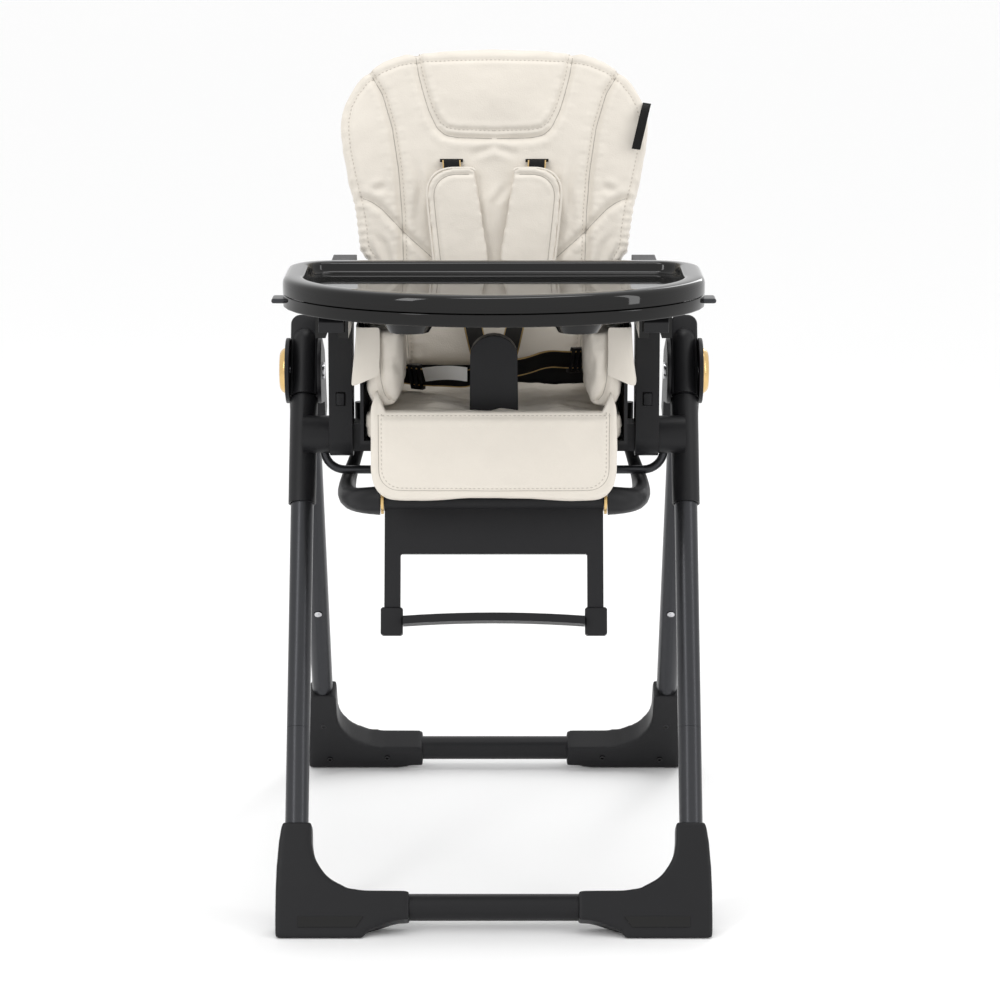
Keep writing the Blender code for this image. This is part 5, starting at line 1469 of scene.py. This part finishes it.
class HIGHCHAIR_OT_screws(Build, bpy.types.Operator):
    """Sets the socket screws in the rear feet"""

    bl_idname = "highchair.screws"
    bl_label = "Screws"

    def execute(self, context):
        leg = FLOOR_LEGS["rear"]
        face = leg.local(points_of(NODES["rear_foot_right"]))[:, 2].max()
        bpy.ops.mesh.primitive_cylinder_add(vertices=20, radius=0.0040, depth=0.0016)
        seed = added("screw")
        choose(seed)
        bpy.ops.object.mode_set(mode="EDIT")
        bpy.ops.mesh.select_all(action="DESELECT")
        bpy.ops.object.mode_set(mode="OBJECT")
        for polygon in seed.data.polygons:
            polygon.select = polygon.normal.z > 0.9
        bpy.ops.object.mode_set(mode="EDIT")
        bpy.ops.mesh.inset(thickness=0.0006)
        bpy.ops.transform.translate(value=(0, 0, 0.0004))
        bpy.ops.mesh.inset(thickness=0.0014)
        bpy.ops.mesh.extrude_region_move(TRANSFORM_OT_translate={"value": (0, 0, -0.0013)})
        bpy.ops.object.mode_set(mode="OBJECT")
        made = []
        turn = leg.out.to_track_quat("Z", "Y").to_matrix().to_4x4()
        spots = [(sign * x, rise) for sign in (-1, 1)
                 for x, rise in ((0.2430, 0.094), (0.2360, 0.030), (0.1540, 0.033))]
        for x, rise in spots:
            sink = 0.0026 if rise > 0.05 else 0.0
            spot = leg.point(x, rise, face + 0.0002 - sink)
            made.append(copy_placed(seed, Matrix.Translation(spot) @ turn))
        discard(seed)
        screws = joined("rear_foot_screws", made)
        smooth(screws, 35.0)
        dress(screws, material("dark_steel"), "rear_frame")
        return {"FINISHED"}


class HIGHCHAIR_OT_studio(Build, bpy.types.Operator):
    """Lays the pale floor and sets the soft lights and the camera"""

    bl_idname = "highchair.studio"
    bl_label = "Studio"

    def execute(self, context):
        studio = context.scene.high_chair_studio
        bpy.ops.mesh.primitive_plane_add(size=300.0, location=(0.0, 0.0, 0.0))
        floor = added("studio_floor")
        made = Finish("studio_floor_paint", finishes().floor, 0.6, Specular_IOR_Level=0.25)
        made.rough(made.noise(3.0, 2.0), 0.55, 0.65)
        floor.data.materials.append(made.material)
        world = bpy.data.worlds.new("studio_surround")
        world.use_nodes = True
        world.node_tree.nodes["Background"].inputs["Color"].default_value = (1.0, 1.0, 1.0, 1.0)
        world.node_tree.nodes["Background"].inputs["Strength"].default_value = studio.sky
        context.scene.world = world
        self.light("key_light", (-1.7, -2.3, 2.4), (0.45, 1.7), studio.key)
        self.light("side_light", (2.1, -1.2, 1.5), (0.30, 1.8), studio.key * 0.5)
        self.light("top_light", (0.2, -0.2, 3.1), (1.6, 0.45), studio.key * 0.9)
        self.light("back_light", (1.2, 2.6, 2.0), (0.5, 1.7), studio.key * 0.6)
        camera = bpy.data.cameras.new("camera")
        camera.lens = studio.lens
        camera.sensor_width = SENSOR_WIDTH
        holder = bpy.data.objects.new("camera", camera)
        context.scene.collection.objects.link(holder)
        holder.location = studio.camera_place
        holder.rotation_euler = (math.pi / 2 - studio.camera_pitch, 0.0, 0.0)
        context.scene.camera = holder
        context.scene.view_settings.view_transform = "Standard"
        return {"FINISHED"}

    @staticmethod
    def light(name, place, size, power):
        bpy.ops.object.light_add(type="AREA", location=place)
        lamp = bpy.context.view_layer.objects.active
        lamp.name = name
        lamp.data.shape = "RECTANGLE"
        lamp.data.size, lamp.data.size_y = size
        lamp.data.energy = power
        aim = Vector((0, 0, 0.55)) - Vector(place)
        lamp.rotation_euler = aim.to_track_quat("-Z", "Y").to_euler()


STEPS = (HIGHCHAIR_OT_frame_finish, HIGHCHAIR_OT_front_hubs, HIGHCHAIR_OT_hub_rings,
         HIGHCHAIR_OT_back_cushion, HIGHCHAIR_OT_back_label, HIGHCHAIR_OT_seat_cushion,
         HIGHCHAIR_OT_bolsters,
         HIGHCHAIR_OT_front_flap, HIGHCHAIR_OT_side_drapes, HIGHCHAIR_OT_shoulder_pads,
         HIGHCHAIR_OT_harness, HIGHCHAIR_OT_tray_cover, HIGHCHAIR_OT_feet, HIGHCHAIR_OT_screws,
         HIGHCHAIR_OT_studio)


class HIGHCHAIR_PT_panel(bpy.types.Panel):
    """Lists the building steps and their settings"""

    bl_idname = "HIGHCHAIR_PT_panel"
    bl_label = "High chair"
    bl_space_type = "VIEW_3D"
    bl_region_type = "UI"
    bl_category = "High chair"

    def draw(self, context):
        for group in ("finish", "padding", "studio"):
            box = self.layout.box()
            settings = getattr(context.scene, f"high_chair_{group}")
            for name in settings.__annotations__:
                box.prop(settings, name)
        for step in STEPS:
            self.layout.operator(step.bl_idname)


CLASSES = (HighChairFinish, HighChairPadding, HighChairStudio, *STEPS, HIGHCHAIR_PT_panel)


def register():
    for kind in CLASSES:
        bpy.utils.register_class(kind)
    bpy.types.Scene.high_chair_finish = PointerProperty(type=HighChairFinish)
    bpy.types.Scene.high_chair_padding = PointerProperty(type=HighChairPadding)
    bpy.types.Scene.high_chair_studio = PointerProperty(type=HighChairStudio)


def unregister():
    for name in ("finish", "padding", "studio"):
        delattr(bpy.types.Scene, f"high_chair_{name}")
    for kind in reversed(CLASSES):
        bpy.utils.unregister_class(kind)


def main():
    register()
    for step in STEPS:
        group, name = step.bl_idname.split(".")
        getattr(getattr(bpy.ops, group), name)()
    deselect()


if __name__ == "__main__":
    main()
